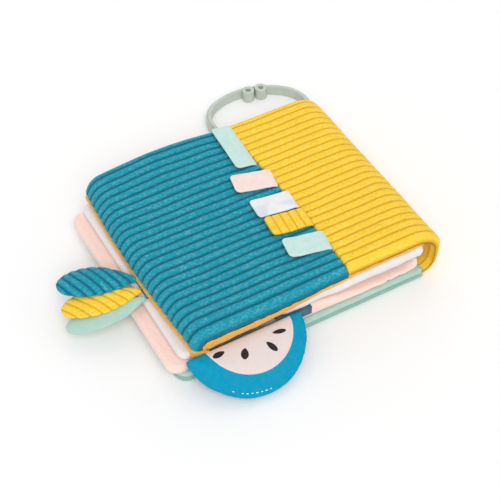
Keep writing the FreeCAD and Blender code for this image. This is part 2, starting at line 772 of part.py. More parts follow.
def linings():
    """The plain padded cloth inside the front cover and inside the spine."""
    lining_depth = book_depth - lining_inset * 2
    low = lining_top - lining_skin
    nose_out = nose_radius - cloth_skin
    nose_in = nose_out - lining_skin
    bend_out = spine_shoulder - cloth_skin
    bend_in = bend_out - lining_skin
    foot_out = spine_foot - cloth_skin
    foot_in = foot_out - lining_skin
    step_up = book_height - cloth_skin

    front = body("front_lining")
    section = sketch_on(front, "XZ_Plane", "front_lining_section")
    out_x, out_z = cut_spot(bend_out, -half_gap)
    in_x, in_z = cut_spot(bend_in, -half_gap)
    corners = [
        (nose_x - nose_in, nose_z),
        (nose_x - nose_out, nose_z),
        (nose_x, lining_top),
        (seam_x - seam_gap, lining_top),
        (seam_x, step_up),
        (shoulder_x, step_up),
        (shoulder_x + out_x, shoulder_z + out_z),
        (shoulder_x + in_x, shoulder_z + in_z),
        (shoulder_x, step_up - lining_skin),
        (nose_x, low),
    ]
    arcs = {1: (nose_out, -1), 5: (bend_out, -1), 7: (bend_in, 1), 9: (nose_in, 1)}
    trace(section, corners, arcs)
    pad(front, section, "front_lining_pad", lining_depth, both_ways=True)
    finished.append(front)

    inner = body("spine_lining")
    section = sketch_on(inner, "XZ_Plane", "spine_lining_section")
    out_x, out_z = cut_spot(bend_out, half_gap)
    in_x, in_z = cut_spot(bend_in, half_gap)
    low_out_x, low_out_z = cut_spot(foot_out, half_gap)
    low_in_x, low_in_z = cut_spot(foot_in, half_gap)
    corners = [
        (shoulder_x + out_x, shoulder_z + out_z),
        (shoulder_x + bend_out, shoulder_z),
        (back_end + foot_out, spine_foot),
        (back_end + low_out_x, spine_foot - low_out_z),
        (back_end + low_in_x, spine_foot - low_in_z),
        (back_end + foot_in, spine_foot),
        (shoulder_x + bend_in, shoulder_z),
        (shoulder_x + in_x, shoulder_z + in_z),
    ]
    arcs = {0: (bend_out, -1), 2: (foot_out, -1), 4: (foot_in, 1), 6: (bend_in, 1)}
    trace(section, corners, arcs)
    pad(inner, section, "spine_lining_pad", lining_depth, both_ways=True)
    finished.append(inner)


def fruit():
    """A stuffed half fruit that rests on the floor, with its pale patch, seeds and ribbon."""
    half = fruit_thickness / 2
    out = strap_face + seam_gap
    nose = (half - fruit_edge_round) * sine(fruit_tilt)
    reach = fruit_radius - fruit_set_back
    fall = (reach - fruit_edge_round) * sine(fruit_tilt) + half * cosine(fruit_tilt)
    seat = (fruit_across, -(out + nose), fall + seam_gap, Size(0), Size(0), fruit_tilt)

    cushion = body("fruit_body")
    outline = sketch_on(cushion, "XY_Plane", "fruit_outline", -half)
    chord = root(fruit_radius * fruit_radius - fruit_set_back * fruit_set_back)
    corners = [(chord, Size(0)), (-chord, Size(0)), (Size(0), -reach)]
    trace(outline, corners, {1: (fruit_radius, 1), 2: (fruit_radius, 1)})
    slab = pad(cushion, outline, "fruit_pad", fruit_thickness)
    doc.recompute()
    upright = fillet_where(
        cushion,
        slab,
        "fruit_corners",
        fruit_corner,
        lambda edge: edge.BoundBox.ZLength > 1 and edge.BoundBox.XMin * edge.BoundBox.XMax > 1,
    )
    bevel_where(
        cushion, upright, "fruit_edges", fruit_edge_round, lambda edge: edge.BoundBox.ZLength < tolerance
    )
    place(cushion, *seat)
    finished.append(cushion)

    patch = body("fruit_flesh")
    outline = sketch_on(patch, "XY_Plane", "flesh_outline", half)
    inset = fruit_edge_round + flesh_margin
    depth = inset + fruit_set_back
    run = root(flesh_radius * flesh_radius - depth * depth)
    corners = [
        (flesh_across + run, -inset),
        (flesh_across - run, -inset),
        (flesh_across, fruit_set_back - flesh_radius),
    ]
    trace(outline, corners, {1: (flesh_radius, 1), 2: (flesh_radius, 1)})
    pad(patch, outline, "flesh_pad", flesh_thickness)
    place(patch, *seat)
    finished.append(patch)

    for number, (along, down, angle) in enumerate(seeds, start=1):
        seed = body(f"seed_{number}")
        outline = sketch_on(seed, "XY_Plane", f"seed_{number}_outline", half + flesh_thickness)
        bind(outline, "AttachmentOffset.Base.x", along)
        bind(outline, "AttachmentOffset.Base.y", -down)
        outline.setExpression("AttachmentOffset.Rotation.Angle", f"{(-angle).formula} * 1deg")
        side = seed_width / 2
        corners = [(Size(0), Size(0)), (seed_length - side, -side), (seed_length - side, side)]
        trace(outline, corners, {0: (seed_flank, 1), 1: (seed_round, 1), 2: (seed_flank, 1)})
        pad(seed, outline, f"seed_{number}_pad", seed_thickness)
        place(seed, *seat)
        finished.append(seed)

    strap = body("fruit_strap")
    section = sketch_on(strap, "YZ_Plane", "strap_section", strap_across)
    upper = pink_top + leaf_gap - (leaf_gap - ribbon_skin) / 2
    corners = [
        (strap_reach - page_depth / 2, upper),
        (-strap_face, upper),
        (-strap_face, upper - strap_drop),
        (ribbon_skin - strap_face, upper - strap_drop),
        (ribbon_skin - strap_face, upper - ribbon_skin),
        (strap_reach - page_depth / 2, upper - ribbon_skin),
    ]
    trace(section, corners)
    pad(strap, section, "strap_pad", strap_length, both_ways=True)
    finished.append(strap)


def tags():
    """Folded ribbon tags that come out of the seam and lie on the teal cloth."""
    seam_side = doc.addObject("Part::Box", "seam_side")
    bind(seam_side, "Length", wide_tag_width)
    bind(seam_side, "Width", book_depth)
    bind(seam_side, "Height", spine_shoulder)
    place(seam_side, seam_x - seam_gap, -half_depth, teal_top, Size(0))
    for label, across, turn, width, length in tag_sizes:
        whole = body(f"{label}_whole")
        section = sketch_on(whole, "XZ_Plane", f"{label}_section")
        fold = tag_ply + tag_fold / 2
        hollow = tag_fold / 2
        start = -(width / 2)
        straight = length - fold
        corners = [
            (start, Size(0)),
            (straight, Size(0)),
            (length, fold),
            (straight, fold * 2),
            (start, fold * 2),
            (start, fold * 2 - tag_ply),
            (straight, fold * 2 - tag_ply),
            (straight + hollow, fold),
            (straight, tag_ply),
            (start, tag_ply),
        ]
        arcs = {1: (fold, 1), 2: (fold, 1), 6: (hollow, -1), 7: (hollow, -1)}
        trace(section, corners, arcs)
        pad(whole, section, f"{label}_pad", width, both_ways=True)
        place(whole, seam_x - seam_gap, across, teal_top + tag_lift, Size(180) - turn)
        finished.append(cut_from(label, whole, seam_side))


def leaves():
    """Three padded leaves stacked at a cloth tab on the fore-edge, two of them ribbed."""
    tab = body("leaf_tab")
    section = sketch_on(tab, "XZ_Plane", "leaf_tab_section", -tab_across)
    tab_out = fore_edge - tab_reach
    corners = [
        (tab_out, nose_z - tab_thickness),
        (fore_edge + tab_tail, nose_z - tab_thickness),
        (fore_edge + tab_tail, nose_z),
        (tab_out, nose_z),
    ]
    trace(section, corners)
    pad(tab, section, "leaf_tab_pad", tab_length, both_ways=True)
    finished.append(tab)

    step = leaf_thickness + seam_gap
    middle = nose_z + seam_gap + leaf_thickness / 2
    for number, (label, start, across, turn, droop, length, width, ribbed) in enumerate(leaf_sizes):
        outline_of = body(f"{label}_outline_slab" if ribbed else label)
        outline = sketch_on(outline_of, "XY_Plane", f"{label}_outline")
        base = leaf_root / 2
        start = start - base * sine(turn) - base * sine(droop) / 2
        tip = leaf_tip - seam_gap
        run = length - leaf_tip
        chord = run * run + (tip - base) * (tip - base)
        rise = width / 2 - (base + tip) / 2
        bow = (chord / 4 + rise * rise) / (rise * 2)
        corners = [(Size(0), -base), (run, -tip), (run, tip), (Size(0), base)]
        trace(outline, corners, {0: (bow, 1), 1: (leaf_tip, 1), 2: (bow, 1)})
        thick = leaf_thickness * 2 if ribbed else leaf_thickness
        pad(outline_of, outline, f"{label}_pad", thick, both_ways=True)
        seat = (start, across, middle - step * number, Size(180) - turn, droop)
        place(outline_of, *seat)
        if not ribbed:
            finished.append(outline_of)
            continue
        ribs = body(f"{label}_ribs")
        section = sketch_on(ribs, "YZ_Plane", f"{label}_rib_section")
        count = int(math.ceil(length.number / leaf_rib.number)) + 2
        first = -(leaf_rib * (count / 2))
        top = leaf_thickness / 2
        valley = top - leaf_groove
        corners = [(first, -valley)]
        for i in range(count):
            groove = first + leaf_rib * i
            corners += [
                (groove + leaf_flank, -top),
                (groove + leaf_rib - leaf_flank, -top),
                (groove + leaf_rib, -valley),
            ]
        corners += [(across_rib, -height) for across_rib, height in reversed(corners)]
        trace(section, corners)
        pad(ribs, section, f"{label}_ribs_pad", length * 2, both_ways=True)
        place(ribs, *seat)
        bind_rib_turn(section, length)
        finished.append(kept_within(label, outline_of, ribs))


def bind_rib_turn(section, length):
    """Turns a ribbed slab's section so that the ribs cross the leaf at a slant."""
    section.setExpression("AttachmentOffset.Rotation.Axis.y", "1")
    section.setExpression("AttachmentOffset.Rotation.Angle", f"{rib_slant.formula} * 1deg")
    bind(section, "AttachmentOffset.Base.z", length / 2)


def oval(sketch, out):
    """The ring's oval, drawn as four arcs and moved outward by out."""
    long_half = ring_length / 2
    short_half = ring_width / 2
    small = ring_end_radius
    side = long_half - small
    large = (side * side + short_half * short_half - small * small) / ((short_half - small) * 2)
    drop = large - short_half
    slant = large - small
    join_y = drop * small / slant
    corner_x = side + side * small / slant + out * side / slant
    corner_y = join_y + out * drop / slant
    corners = [
        (corner_x, -corner_y),
        (corner_x, corner_y),
        (-corner_x, corner_y),
        (-corner_x, -corner_y),
    ]
    trace(
        sketch,
        corners,
        {0: (small + out, 1), 1: (large + out, 1), 2: (small + out, 1), 3: (large + out, 1)},
    )


def ring():
    """A split moulded ring with a rib round its outside and an eyelet at each end."""
    ends = body("split_ring")
    low = -(ring_height / 2)
    half_band = ring_band / 2
    outer = sketch_on(ends, "XY_Plane", "ring_band_outline")
    oval(outer, half_band)
    oval(outer, -half_band)
    pad(ends, outer, "ring_band_pad", ring_height, both_ways=True)
    rib = sketch_on(ends, "XY_Plane", "ring_rib_outline")
    oval(rib, half_band + ring_rib)
    oval(rib, half_band / 2)
    pad(ends, rib, "ring_rib_pad", ring_rib_height, both_ways=True)
    discs = sketch_on(ends, "XY_Plane", "eyelet_outline", low)
    holes = sketch_on(ends, "XY_Plane", "eyelet_holes")
    spacing = eyelet_radius + ring_split / 2
    for side in (-1, 1):
        for target, radius in ((discs, eyelet_radius), (holes, eyelet_bore)):
            spot = (split_across + spacing * side, ring_width / 2 - eyelet_inset)
            centre = Vector(spot[0].number, spot[1].number, 0)
            circle = target.addGeometry(Part.Circle(centre, Vector(0, 0, 1), radius.number))
            constrain(target, "Radius", circle, size=radius)
            constrain(target, "DistanceX", -1, 1, circle, 3, size=spot[0])
            constrain(target, "DistanceY", -1, 1, circle, 3, size=spot[1])
    pad(ends, discs, "eyelets_pad", eyelet_height)
    pocket(ends, holes, "eyelets_bore", eyelet_height * 3)
    split = sketch_on(ends, "XY_Plane", "split_outline")
    near = ring_width / 2 - eyelet_inset - eyelet_radius * 2
    far = ring_width / 2 + ring_band + ring_rib
    half_split = ring_split / 2
    corners = [
        (split_across - half_split, near),
        (split_across + half_split, near),
        (split_across + half_split, far),
        (split_across - half_split, far),
    ]
    trace(split, corners)
    pocket(ends, split, "ring_split_cut", eyelet_height * 3)
    rise = ring_height / 2 + floor_gap
    rise = rise + (ring_width / 2 + ring_band + ring_rib) * sine(ring_tilt)
    place(ends, ring_across, loop_y + ring_drop, rise, ring_turn, Size(0), -ring_tilt)
    finished.append(ends)


def ribbon_loop():
    """The ribbon that the ring hangs in, sewn into the back cover's seam."""
    outer = loop_bore + ribbon_skin
    ribbon = body("ring_loop")
    round_face = sketch_on(ribbon, "YZ_Plane", "loop_outline", loop_x)
    circle = round_face.addGeometry(
        Part.Circle(Vector(loop_y.number, loop_z.number, 0), Vector(0, 0, 1), outer.number)
    )
    constrain(round_face, "Radius", circle, size=outer)
    constrain(round_face, "DistanceX", -1, 1, circle, 3, size=loop_y)
    constrain(round_face, "DistanceY", -1, 1, circle, 3, size=loop_z)
    pad(ribbon, round_face, "loop_pad", loop_width, both_ways=True)
    tail = sketch_on(ribbon, "YZ_Plane", "loop_tail", loop_x)
    corners = [
        (half_depth - loop_tail, back_skin - ribbon_skin / 2),
        (loop_y, back_skin - ribbon_skin / 2),
        (loop_y, back_skin + ribbon_skin / 2),
        (half_depth - loop_tail, back_skin + ribbon_skin / 2),
    ]
    trace(tail, corners)
    pad(ribbon, tail, "loop_tail_pad", loop_width, both_ways=True)
    hollow = sketch_on(ribbon, "YZ_Plane", "loop_hollow", loop_x)
    circle = hollow.addGeometry(
        Part.Circle(Vector(loop_y.number, loop_z.number, 0), Vector(0, 0, 1), loop_bore.number)
    )
    constrain(hollow, "Radius", circle, size=loop_bore)
    constrain(hollow, "DistanceX", -1, 1, circle, 3, size=loop_y)
    constrain(hollow, "DistanceY", -1, 1, circle, 3, size=loop_z)
    pocket(ribbon, hollow, "loop_bore_cut", loop_width * 2)
    finished.append(ribbon)


back_cover()
pages()
front_cover()
linings()
fruit()
tags()
leaves()
ribbon_loop()
ring()
doc.recompute()

for thing in doc.Objects:
    if "Invalid" in thing.State or "Error" in thing.State:
        raise RuntimeError(f"{thing.Label} did not build: {thing.State}")
for piece in finished:
    if piece.Shape.isNull() or not piece.Shape.isValid() or len(piece.Shape.Solids) != 1:
        raise RuntimeError(f"{piece.Label} is not one valid solid")

os.makedirs("parts", exist_ok=True)
for piece in finished:
    piece.Shape.exportStep(os.path.join("parts", f"{piece.Label}.step"))
print(f"{len(finished)} pieces written")
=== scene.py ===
"""Dresses the soft cloth book: corduroy covers, padded leaves, tags, stuffed half fruit and clip ring.

Every length is in metres in the frame of the model: +X runs from the open fore-edge to the
spine, +Y along the spine to the end that carries the ring, and +Z up.
"""

import math

import bmesh
import bpy
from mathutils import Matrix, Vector, noise
from mathutils.bvhtree import BVHTree


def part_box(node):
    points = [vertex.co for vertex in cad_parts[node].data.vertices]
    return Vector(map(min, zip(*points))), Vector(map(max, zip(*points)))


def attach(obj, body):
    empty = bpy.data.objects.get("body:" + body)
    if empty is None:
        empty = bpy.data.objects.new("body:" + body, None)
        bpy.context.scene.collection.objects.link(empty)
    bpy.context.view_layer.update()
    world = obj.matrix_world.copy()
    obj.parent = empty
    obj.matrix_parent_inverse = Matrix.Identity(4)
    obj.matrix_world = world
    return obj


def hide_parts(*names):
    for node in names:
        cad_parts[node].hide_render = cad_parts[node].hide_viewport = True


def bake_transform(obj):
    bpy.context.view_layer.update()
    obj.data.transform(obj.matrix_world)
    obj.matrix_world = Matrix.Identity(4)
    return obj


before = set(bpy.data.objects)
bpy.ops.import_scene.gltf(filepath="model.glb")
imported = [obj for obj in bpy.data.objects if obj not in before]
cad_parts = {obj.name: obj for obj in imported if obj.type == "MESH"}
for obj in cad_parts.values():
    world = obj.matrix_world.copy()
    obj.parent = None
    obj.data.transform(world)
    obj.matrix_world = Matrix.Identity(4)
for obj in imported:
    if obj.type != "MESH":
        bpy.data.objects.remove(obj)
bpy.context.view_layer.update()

MM = 0.001
teal_low, teal_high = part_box("front_teal_panel")
mustard_low, mustard_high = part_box("front_mustard_panel")
spine_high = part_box("spine_wrap")[1]
back_low, back_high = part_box("back_cover_panel")
lining_low, lining_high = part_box("back_cover_lining")
pages_low, pages_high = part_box("pages")
tab_low, tab_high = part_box("leaf_tab")

# The cover's outer line, seen from the near end, in the model's own measures
HALF_DEPTH = teal_high.y
FORE_EDGE = teal_low.x
SEAM = mustard_low.x
SPINE_OUT = spine_high.x
TEAL_TOP = teal_high.z
MUSTARD_TOP = mustard_high.z
SHOULDER = 20 * MM
FOOT = 14 * MM

# The roll at the fore-edge: its radius, its straight end and how far it stands out
CURL = 12.2 * MM
CURL_DROP = 3 * MM
CURL_REACH = 2.3 * MM

# The thickness of the corduroy pads and of the lining, and the ribs
CLOTH = 6.5 * MM
LINING = 5.5 * MM
RIBS = 25
RIB_HEIGHT = 1.5 * MM

# How far the corduroy sinks at the nose and at a hem, and how far the lining hangs
NOSE_DROP = 0.8 * MM
HEM_DROP = 2.6 * MM
HANG = 4.2 * MM

# The corner radii of the book's leaves at the fore-edge and at the spine
LEAF_CORNER = 9 * MM
SPINE_CORNER = 3 * MM

# The half fruit: its radius, how far its circle's middle lies behind the straight edge,
# how far it reaches under the cover, and the radius of its row of stitches
FRUIT_RADIUS = 41.5 * MM
SET_BACK = 3 * MM
TUCK = 2.2 * MM
STITCH_RADIUS = 38.8 * MM

# Points of a mesh that are nearer to each other than this are one point
SAME_PLACE = 0.02 * MM

TEAL = (0.012, 0.330, 0.450)
# The next colour is painted shade, mixed into the teal corduroy's grooves
TEAL_GROOVE_SHADE = (0.0, 0.130, 0.195)
MUSTARD = (1.000, 0.660, 0.048)
# The next colour is painted shade, mixed into the mustard corduroy's grooves
MUSTARD_GROOVE_SHADE = (0.720, 0.370, 0.008)
LINING_YELLOW = (0.900, 0.430, 0.035)
MINT = (0.555, 0.775, 0.725)
PALE_MINT = (0.430, 0.635, 0.550)
SAGE = (0.275, 0.460, 0.390)
PINK = (0.985, 0.715, 0.625)
WHITE = (0.830, 0.790, 0.790)
FRUIT = (0.0, 0.305, 0.500)
FLESH = (0.770, 0.665, 0.640)
SEED = (0.024, 0.013, 0.015)
PLASTIC = (0.500, 0.560, 0.495)
PINK_SATIN = (0.920, 0.730, 0.680)
WHITE_SATIN = (0.850, 0.840, 0.850)
ROSE = (0.860, 0.580, 0.520)
AMBER = (0.900, 0.660, 0.160)
SKY = (0.560, 0.660, 0.760)
STRAP = (0.0, 0.080, 0.140)
THREAD = (0.900, 0.930, 0.940)


def wander(x, y, seed, size):
    """Smooth noise between about -1 and 1, the same on every run."""
    return noise.noise(Vector((x / size, y / size, seed * 7.31)))


def waves(x, y, *layers):
    """Stacks layers of noise, each a height and a size in millimetres with a seed between."""
    return sum(height * MM * wander(x, y, seed, size * MM) for height, seed, size in layers)


def eased_step(value, start, stop):
    """0 before start, 1 after stop, smooth between them."""
    t = min(max((value - start) / (stop - start), 0), 1)
    return t * t * (3 - 2 * t)


def seam_lean(x, y):
    """How far the seam's line leans towards the fore-edge at a place."""
    lean, reach = 4.6 * MM, 34 * MM
    share = eased_step(y, -0.3 * HALF_DEPTH, HALF_DEPTH)
    return -lean * share * math.exp(-(((x - SEAM) / reach) ** 2))


def slump(x, y, z):
    """Moves a point of the cover to where the soft filling lets it go.

    The fore-edge stands out near its middle, the far edge bows out and up, the near edge
    hangs, the seam leans towards the fore-edge at the far end, and the spine bulges.
    """
    far_bow, far_rise, near_hang = 3.2 * MM, 1.6 * MM, 3.6 * MM
    t = y / HALF_DEPTH
    stand_out = (4.7 + 0.9 * t - 3.8 * t * t) * MM
    spine_bulge = (2.4 - 0.8 * t) * MM
    fore = 1 - eased_step(x, FORE_EDGE, FORE_EDGE + 70 * MM)
    along = min(max((x - FORE_EDGE) / (SEAM - FORE_EDGE), 0), 1)
    far = eased_step(t, 0.2, 1.0) * math.sin(math.pi * along)
    near = eased_step(-t, 0.86, 1.0) * (1 - eased_step(x, FORE_EDGE + 50 * MM, SEAM + 12 * MM))
    spine = eased_step(x, SPINE_OUT - 26 * MM, SPINE_OUT - 8 * MM)
    spine *= math.sin(math.pi * min(max(z / MUSTARD_TOP, 0), 1)) ** 0.7
    moved_x = x - stand_out * fore + seam_lean(x, y) + spine_bulge * spine
    return Vector((moved_x, y + far_bow * far, z + far_rise * far - near_hang * near))


class Route:
    """A line in the XZ plane made of straight runs and arcs, read by the distance along it."""

    def __init__(self, x, z, heading):
        self.spot = Vector((x, z))
        self.heading = heading
        self.parts = []
        self.length = 0.0

    def straight(self, run):
        """Goes on straight."""
        self.parts.append((self.length, run, self.spot.copy(), self.heading, 0.0))
        self.spot += Vector((math.cos(self.heading), math.sin(self.heading))) * run
        self.length += run
        return self

    def bend(self, radius, turn):
        """Goes on round an arc; a turn below 0 goes clockwise."""
        run = abs(turn) * radius
        self.parts.append((self.length, run, self.spot.copy(), self.heading, turn / run))
        self.spot, self.heading = self.along(self.parts[-1], run)
        self.length += run
        return self

    @staticmethod
    def along(part, run):
        """The point and the heading at a distance along one part."""
        _, _, spot, heading, rate = part
        if rate == 0:
            return spot + Vector((math.cos(heading), math.sin(heading))) * run, heading
        after = heading + rate * run
        side = Vector((math.sin(after) - math.sin(heading), math.cos(heading) - math.cos(after)))
        return spot + side / rate, after

    def at(self, distance):
        """The point and the way out of the book there, both in the XZ plane."""
        for part in self.parts:
            if distance <= part[0] + part[1] or part is self.parts[-1]:
                spot, heading = self.along(part, distance - part[0])
                return spot, Vector((-math.sin(heading), math.cos(heading)))


def rim_distance(x, y, half_x, half_y, corner):
    """How far inside a rectangle with rounded corners a point lies."""
    qx = abs(x) - (half_x - corner)
    qy = abs(y) - (half_y - corner)
    outside = math.hypot(max(qx, 0), max(qy, 0))
    return corner - outside - min(max(qx, qy), 0)


def rounded(x, y, half_x, half_y, corner):
    """Moves a point of a rectangle so that the rectangle's corners become round."""
    a = abs(x) - (half_x - corner)
    b = abs(y) - (half_y - corner)
    if a <= 0 or b <= 0 or corner <= 0:
        return x, y
    pull = max(a, b) / math.hypot(a, b)
    new_x = half_x - corner + a * pull
    new_y = half_y - corner + b * pull
    return math.copysign(new_x, x), math.copysign(new_y, y)


def fall_off(distance, reach):
    """0 at a padded edge and 1 where the padding is full, along a quarter circle."""
    t = min(max(distance / reach, 0), 1)
    return math.sqrt(1 - (1 - t) ** 2)


def rib_shape(across):
    """The height of a rib from 0 in the groove to 1 on the crest; across is 0 to 1."""
    return (1 - abs(2 * across - 1) ** 2.4) ** 0.62


def finish_mesh(name, bm, material, body, stands_for=(), slot=None):
    """Turns a bmesh into a piece of the book that rides on a body and stands for CAD nodes.

    slot names its material, and fill says how full a padded piece is.
    """
    data = bpy.data.meshes.new(name)
    bm.to_mesh(data)
    bm.free()
    data.polygons.foreach_set("use_smooth", [True] * len(data.polygons))
    data.materials.append(material)
    piece = bpy.data.objects.new(name, data)
    bpy.context.scene.collection.objects.link(piece)
    if body:
        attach(piece, body)
    if stands_for:
        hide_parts(*stands_for)
    return piece


def two_sheets(columns, rows, point):
    """A closed pad: an upper and a lower sheet, sewn to each other along their rims.

    point gives a place and a rib height for a column and a row from 0 to 1, and for a side:
    1 is the upper sheet and -1 the lower one.
    """
    bm = bmesh.new()
    sheet_rib = bm.verts.layers.float.new("rib")
    for side in (1, -1):
        made = bmesh.ops.create_grid(bm, x_segments=columns, y_segments=rows, size=0.5)
        for vert in made["verts"]:
            vert.co, vert[sheet_rib] = point(vert.co.x + 0.5, vert.co.y + 0.5, side)
        if side < 0:
            faces = {face for vert in made["verts"] for face in vert.link_faces}
            bmesh.ops.reverse_faces(bm, faces=list(faces))
    rim = [vert for vert in bm.verts if vert.is_boundary]
    bmesh.ops.remove_doubles(bm, verts=rim, dist=SAME_PLACE)
    bmesh.ops.recalc_face_normals(bm, faces=bm.faces)
    return bm


# The steps across one rib, closer together beside the groove
RIB_STEPS = (0.0, 0.07, 0.17, 0.31, 0.5, 0.69, 0.83, 0.93)


def rib_place(row, ribs, half):
    """The place across its rib, from 0 to 1, and the place across the cloth of a grid row."""
    count = len(RIB_STEPS)
    step = round(row * ribs * count)
    number = min(step // count, ribs - 1)
    across = 1.0 if step == ribs * count else RIB_STEPS[step % count]
    return across, -half + (number + across) * 2 * half / ribs


def crowded(step, steps, half, band, crowd=6):
    """A place from -half to half for one of the steps, with crowd of them in each edge band."""
    if step <= crowd:
        return -half + band * (1 - math.cos(math.pi / 2 * step / crowd))
    if step >= steps - crowd:
        return half - band * (1 - math.cos(math.pi / 2 * (steps - step) / crowd))
    return -half + band + (2 * half - 2 * band) * (step - crowd) / (steps - 2 * crowd)


def close_ends(bm):
    """Fills the open ends that are left on a pad."""
    edges = [edge for edge in bm.edges if edge.is_boundary]
    bmesh.ops.holes_fill(bm, edges=edges, sides=0)
    bmesh.ops.recalc_face_normals(bm, faces=bm.faces)
    return bm


def corduroy_pad(route, start, stop, columns, seed, corner=0.0, nose=0.0, hem=0.0):
    """Padded corduroy along a route, with its ribs running along it.

    corner rounds the corners at its start, nose is the reach of the curl at a free
    fore-edge, and hem that of a turned-in hem.
    """
    middle, half = (start + stop) / 2, (stop - start) / 2
    drop = NOSE_DROP if nose else HEM_DROP
    side_reach, sewn_edge = 6 * MM, 8 * MM
    hem_wave, hem_reach = 1.3 * MM, 3 * MM
    least_fill = 0.3

    def point(column, row, side):
        across, y = rib_place(row, RIBS, HALF_DEPTH)
        rib = rib_shape(across)
        along = -half + (column - 0.05 * math.sin(2 * math.pi * column)) * 2 * half
        if along < 0:
            along, y = rounded(along, y, half, HALF_DEPTH, corner)
        edge = fall_off(HALF_DEPTH - abs(y), side_reach)
        if corner and along < corner - half:
            edge = min(edge, fall_off(rim_distance(along, y, half, HALF_DEPTH, corner), side_reach))
        s = middle + along
        end = fall_off(s - start, nose or hem) if nose or hem else 1.0
        if hem:
            s += hem_wave * (1 - rib) * math.exp(-(s - start) / hem_reach)
        spot, out = route.at(s)
        lift = waves(s, y, (0.50, seed, 38), (0.25, seed + 3, 11))
        fill = min(edge, end)
        height = -CLOTH * (1 - edge) - drop * (1 - end)
        height += (lift - RIB_HEIGHT * (1 - rib)) * max(fill, least_fill)
        if side < 0:
            height += (-CLOTH - height) * fill
        sway = waves(s, y, (0.8, seed + 5, 32), (0.3, seed + 9, 9))
        sway *= min(1, (HALF_DEPTH - abs(y)) / sewn_edge)
        return slump(spot.x + out.x * height, y + sway, spot.y + out.y * height), rib

    return close_ends(two_sheets(columns, RIBS * len(RIB_STEPS), point))


def lining_pad(route, start, stop, columns, seed, nose=False):
    """The plain padded cloth on the inside of a corduroy panel, sewn to it along its edges.

    With nose it rolls round the free fore-edge, and its edges hang a little there.
    """
    rows = 70
    half = (stop - start) / 2
    lining_half = HALF_DEPTH - 0.2 * MM
    edge, roll_reach, roll_crowd = 2.2 * MM, 8 * MM, 14
    narrower_at_nose, narrower_on_spine = 0.035, 0.13

    def point(column, row, side):
        along = 2 * column * half
        if nose:
            along = half + crowded(round(column * columns), columns, half, roll_reach, roll_crowd)
        y = crowded(round(row * rows), rows, lining_half, edge)
        end = 0 if y < 0 else 1
        depth = fall_off(lining_half - abs(y), edge)
        s = start + along
        scallop = waves(s, end, (0.5, seed, 9)) + waves(s, y, (0.5, seed + 2, 17))
        y += math.copysign(scallop, y) * (1 if abs(y) > HALF_DEPTH - edge else 0.2)
        roll = min(along / roll_reach, 1) if nose else 1
        height, hang = -CLOTH, 0.0
        if side > 0 and nose:
            height += (CLOTH - NOSE_DROP) * (1 - math.sin(math.pi / 2 * roll)) ** 1.5
        if side < 0:
            puff = LINING + waves(s, y, (0.6, seed, 26), (0.25, seed + 1, 8))
            height -= puff * depth
            rim = depth * eased_step(abs(y), HALF_DEPTH - 3.0 * MM, HALF_DEPTH - 1.6 * MM)
            near_seam = eased_step(s, 40 * MM, 112 * MM) if nose else 1
            hang = (HANG + waves(s, end, (1.6, seed + 7, 22))) * rim * (1 - near_seam)
            hang -= (0.3 * MM - waves(s, end, (1.2, seed + 8, 12))) * rim * near_seam
            if roll < 1:
                turn = math.pi * roll
                reach = 3.6 * MM + waves(y, 0, (0.5, seed, 8))
                s = start - reach * math.sin(turn) * depth + 0.6 * MM * roll
                height = -0.5 * (CLOTH + puff + NOSE_DROP) + 0.5 * (CLOTH + puff - NOSE_DROP) * math.cos(turn)
                height += 0.9 * MM * math.sin(2 * turn) * (1 if turn < math.pi / 2 else 0)
        spot, out = route.at(s)
        if nose:
            hang *= 0.6 + 0.4 * roll
            y *= 1 - narrower_at_nose * (1 - roll) ** 2
        else:
            hang *= max(out.y, 0)
            y *= 1 - narrower_on_spine * (1 - max(out.y, 0))
        return slump(spot.x + out.x * height, y, spot.y + out.y * height - hang), 1.0

    return close_ends(two_sheets(columns, rows, point))


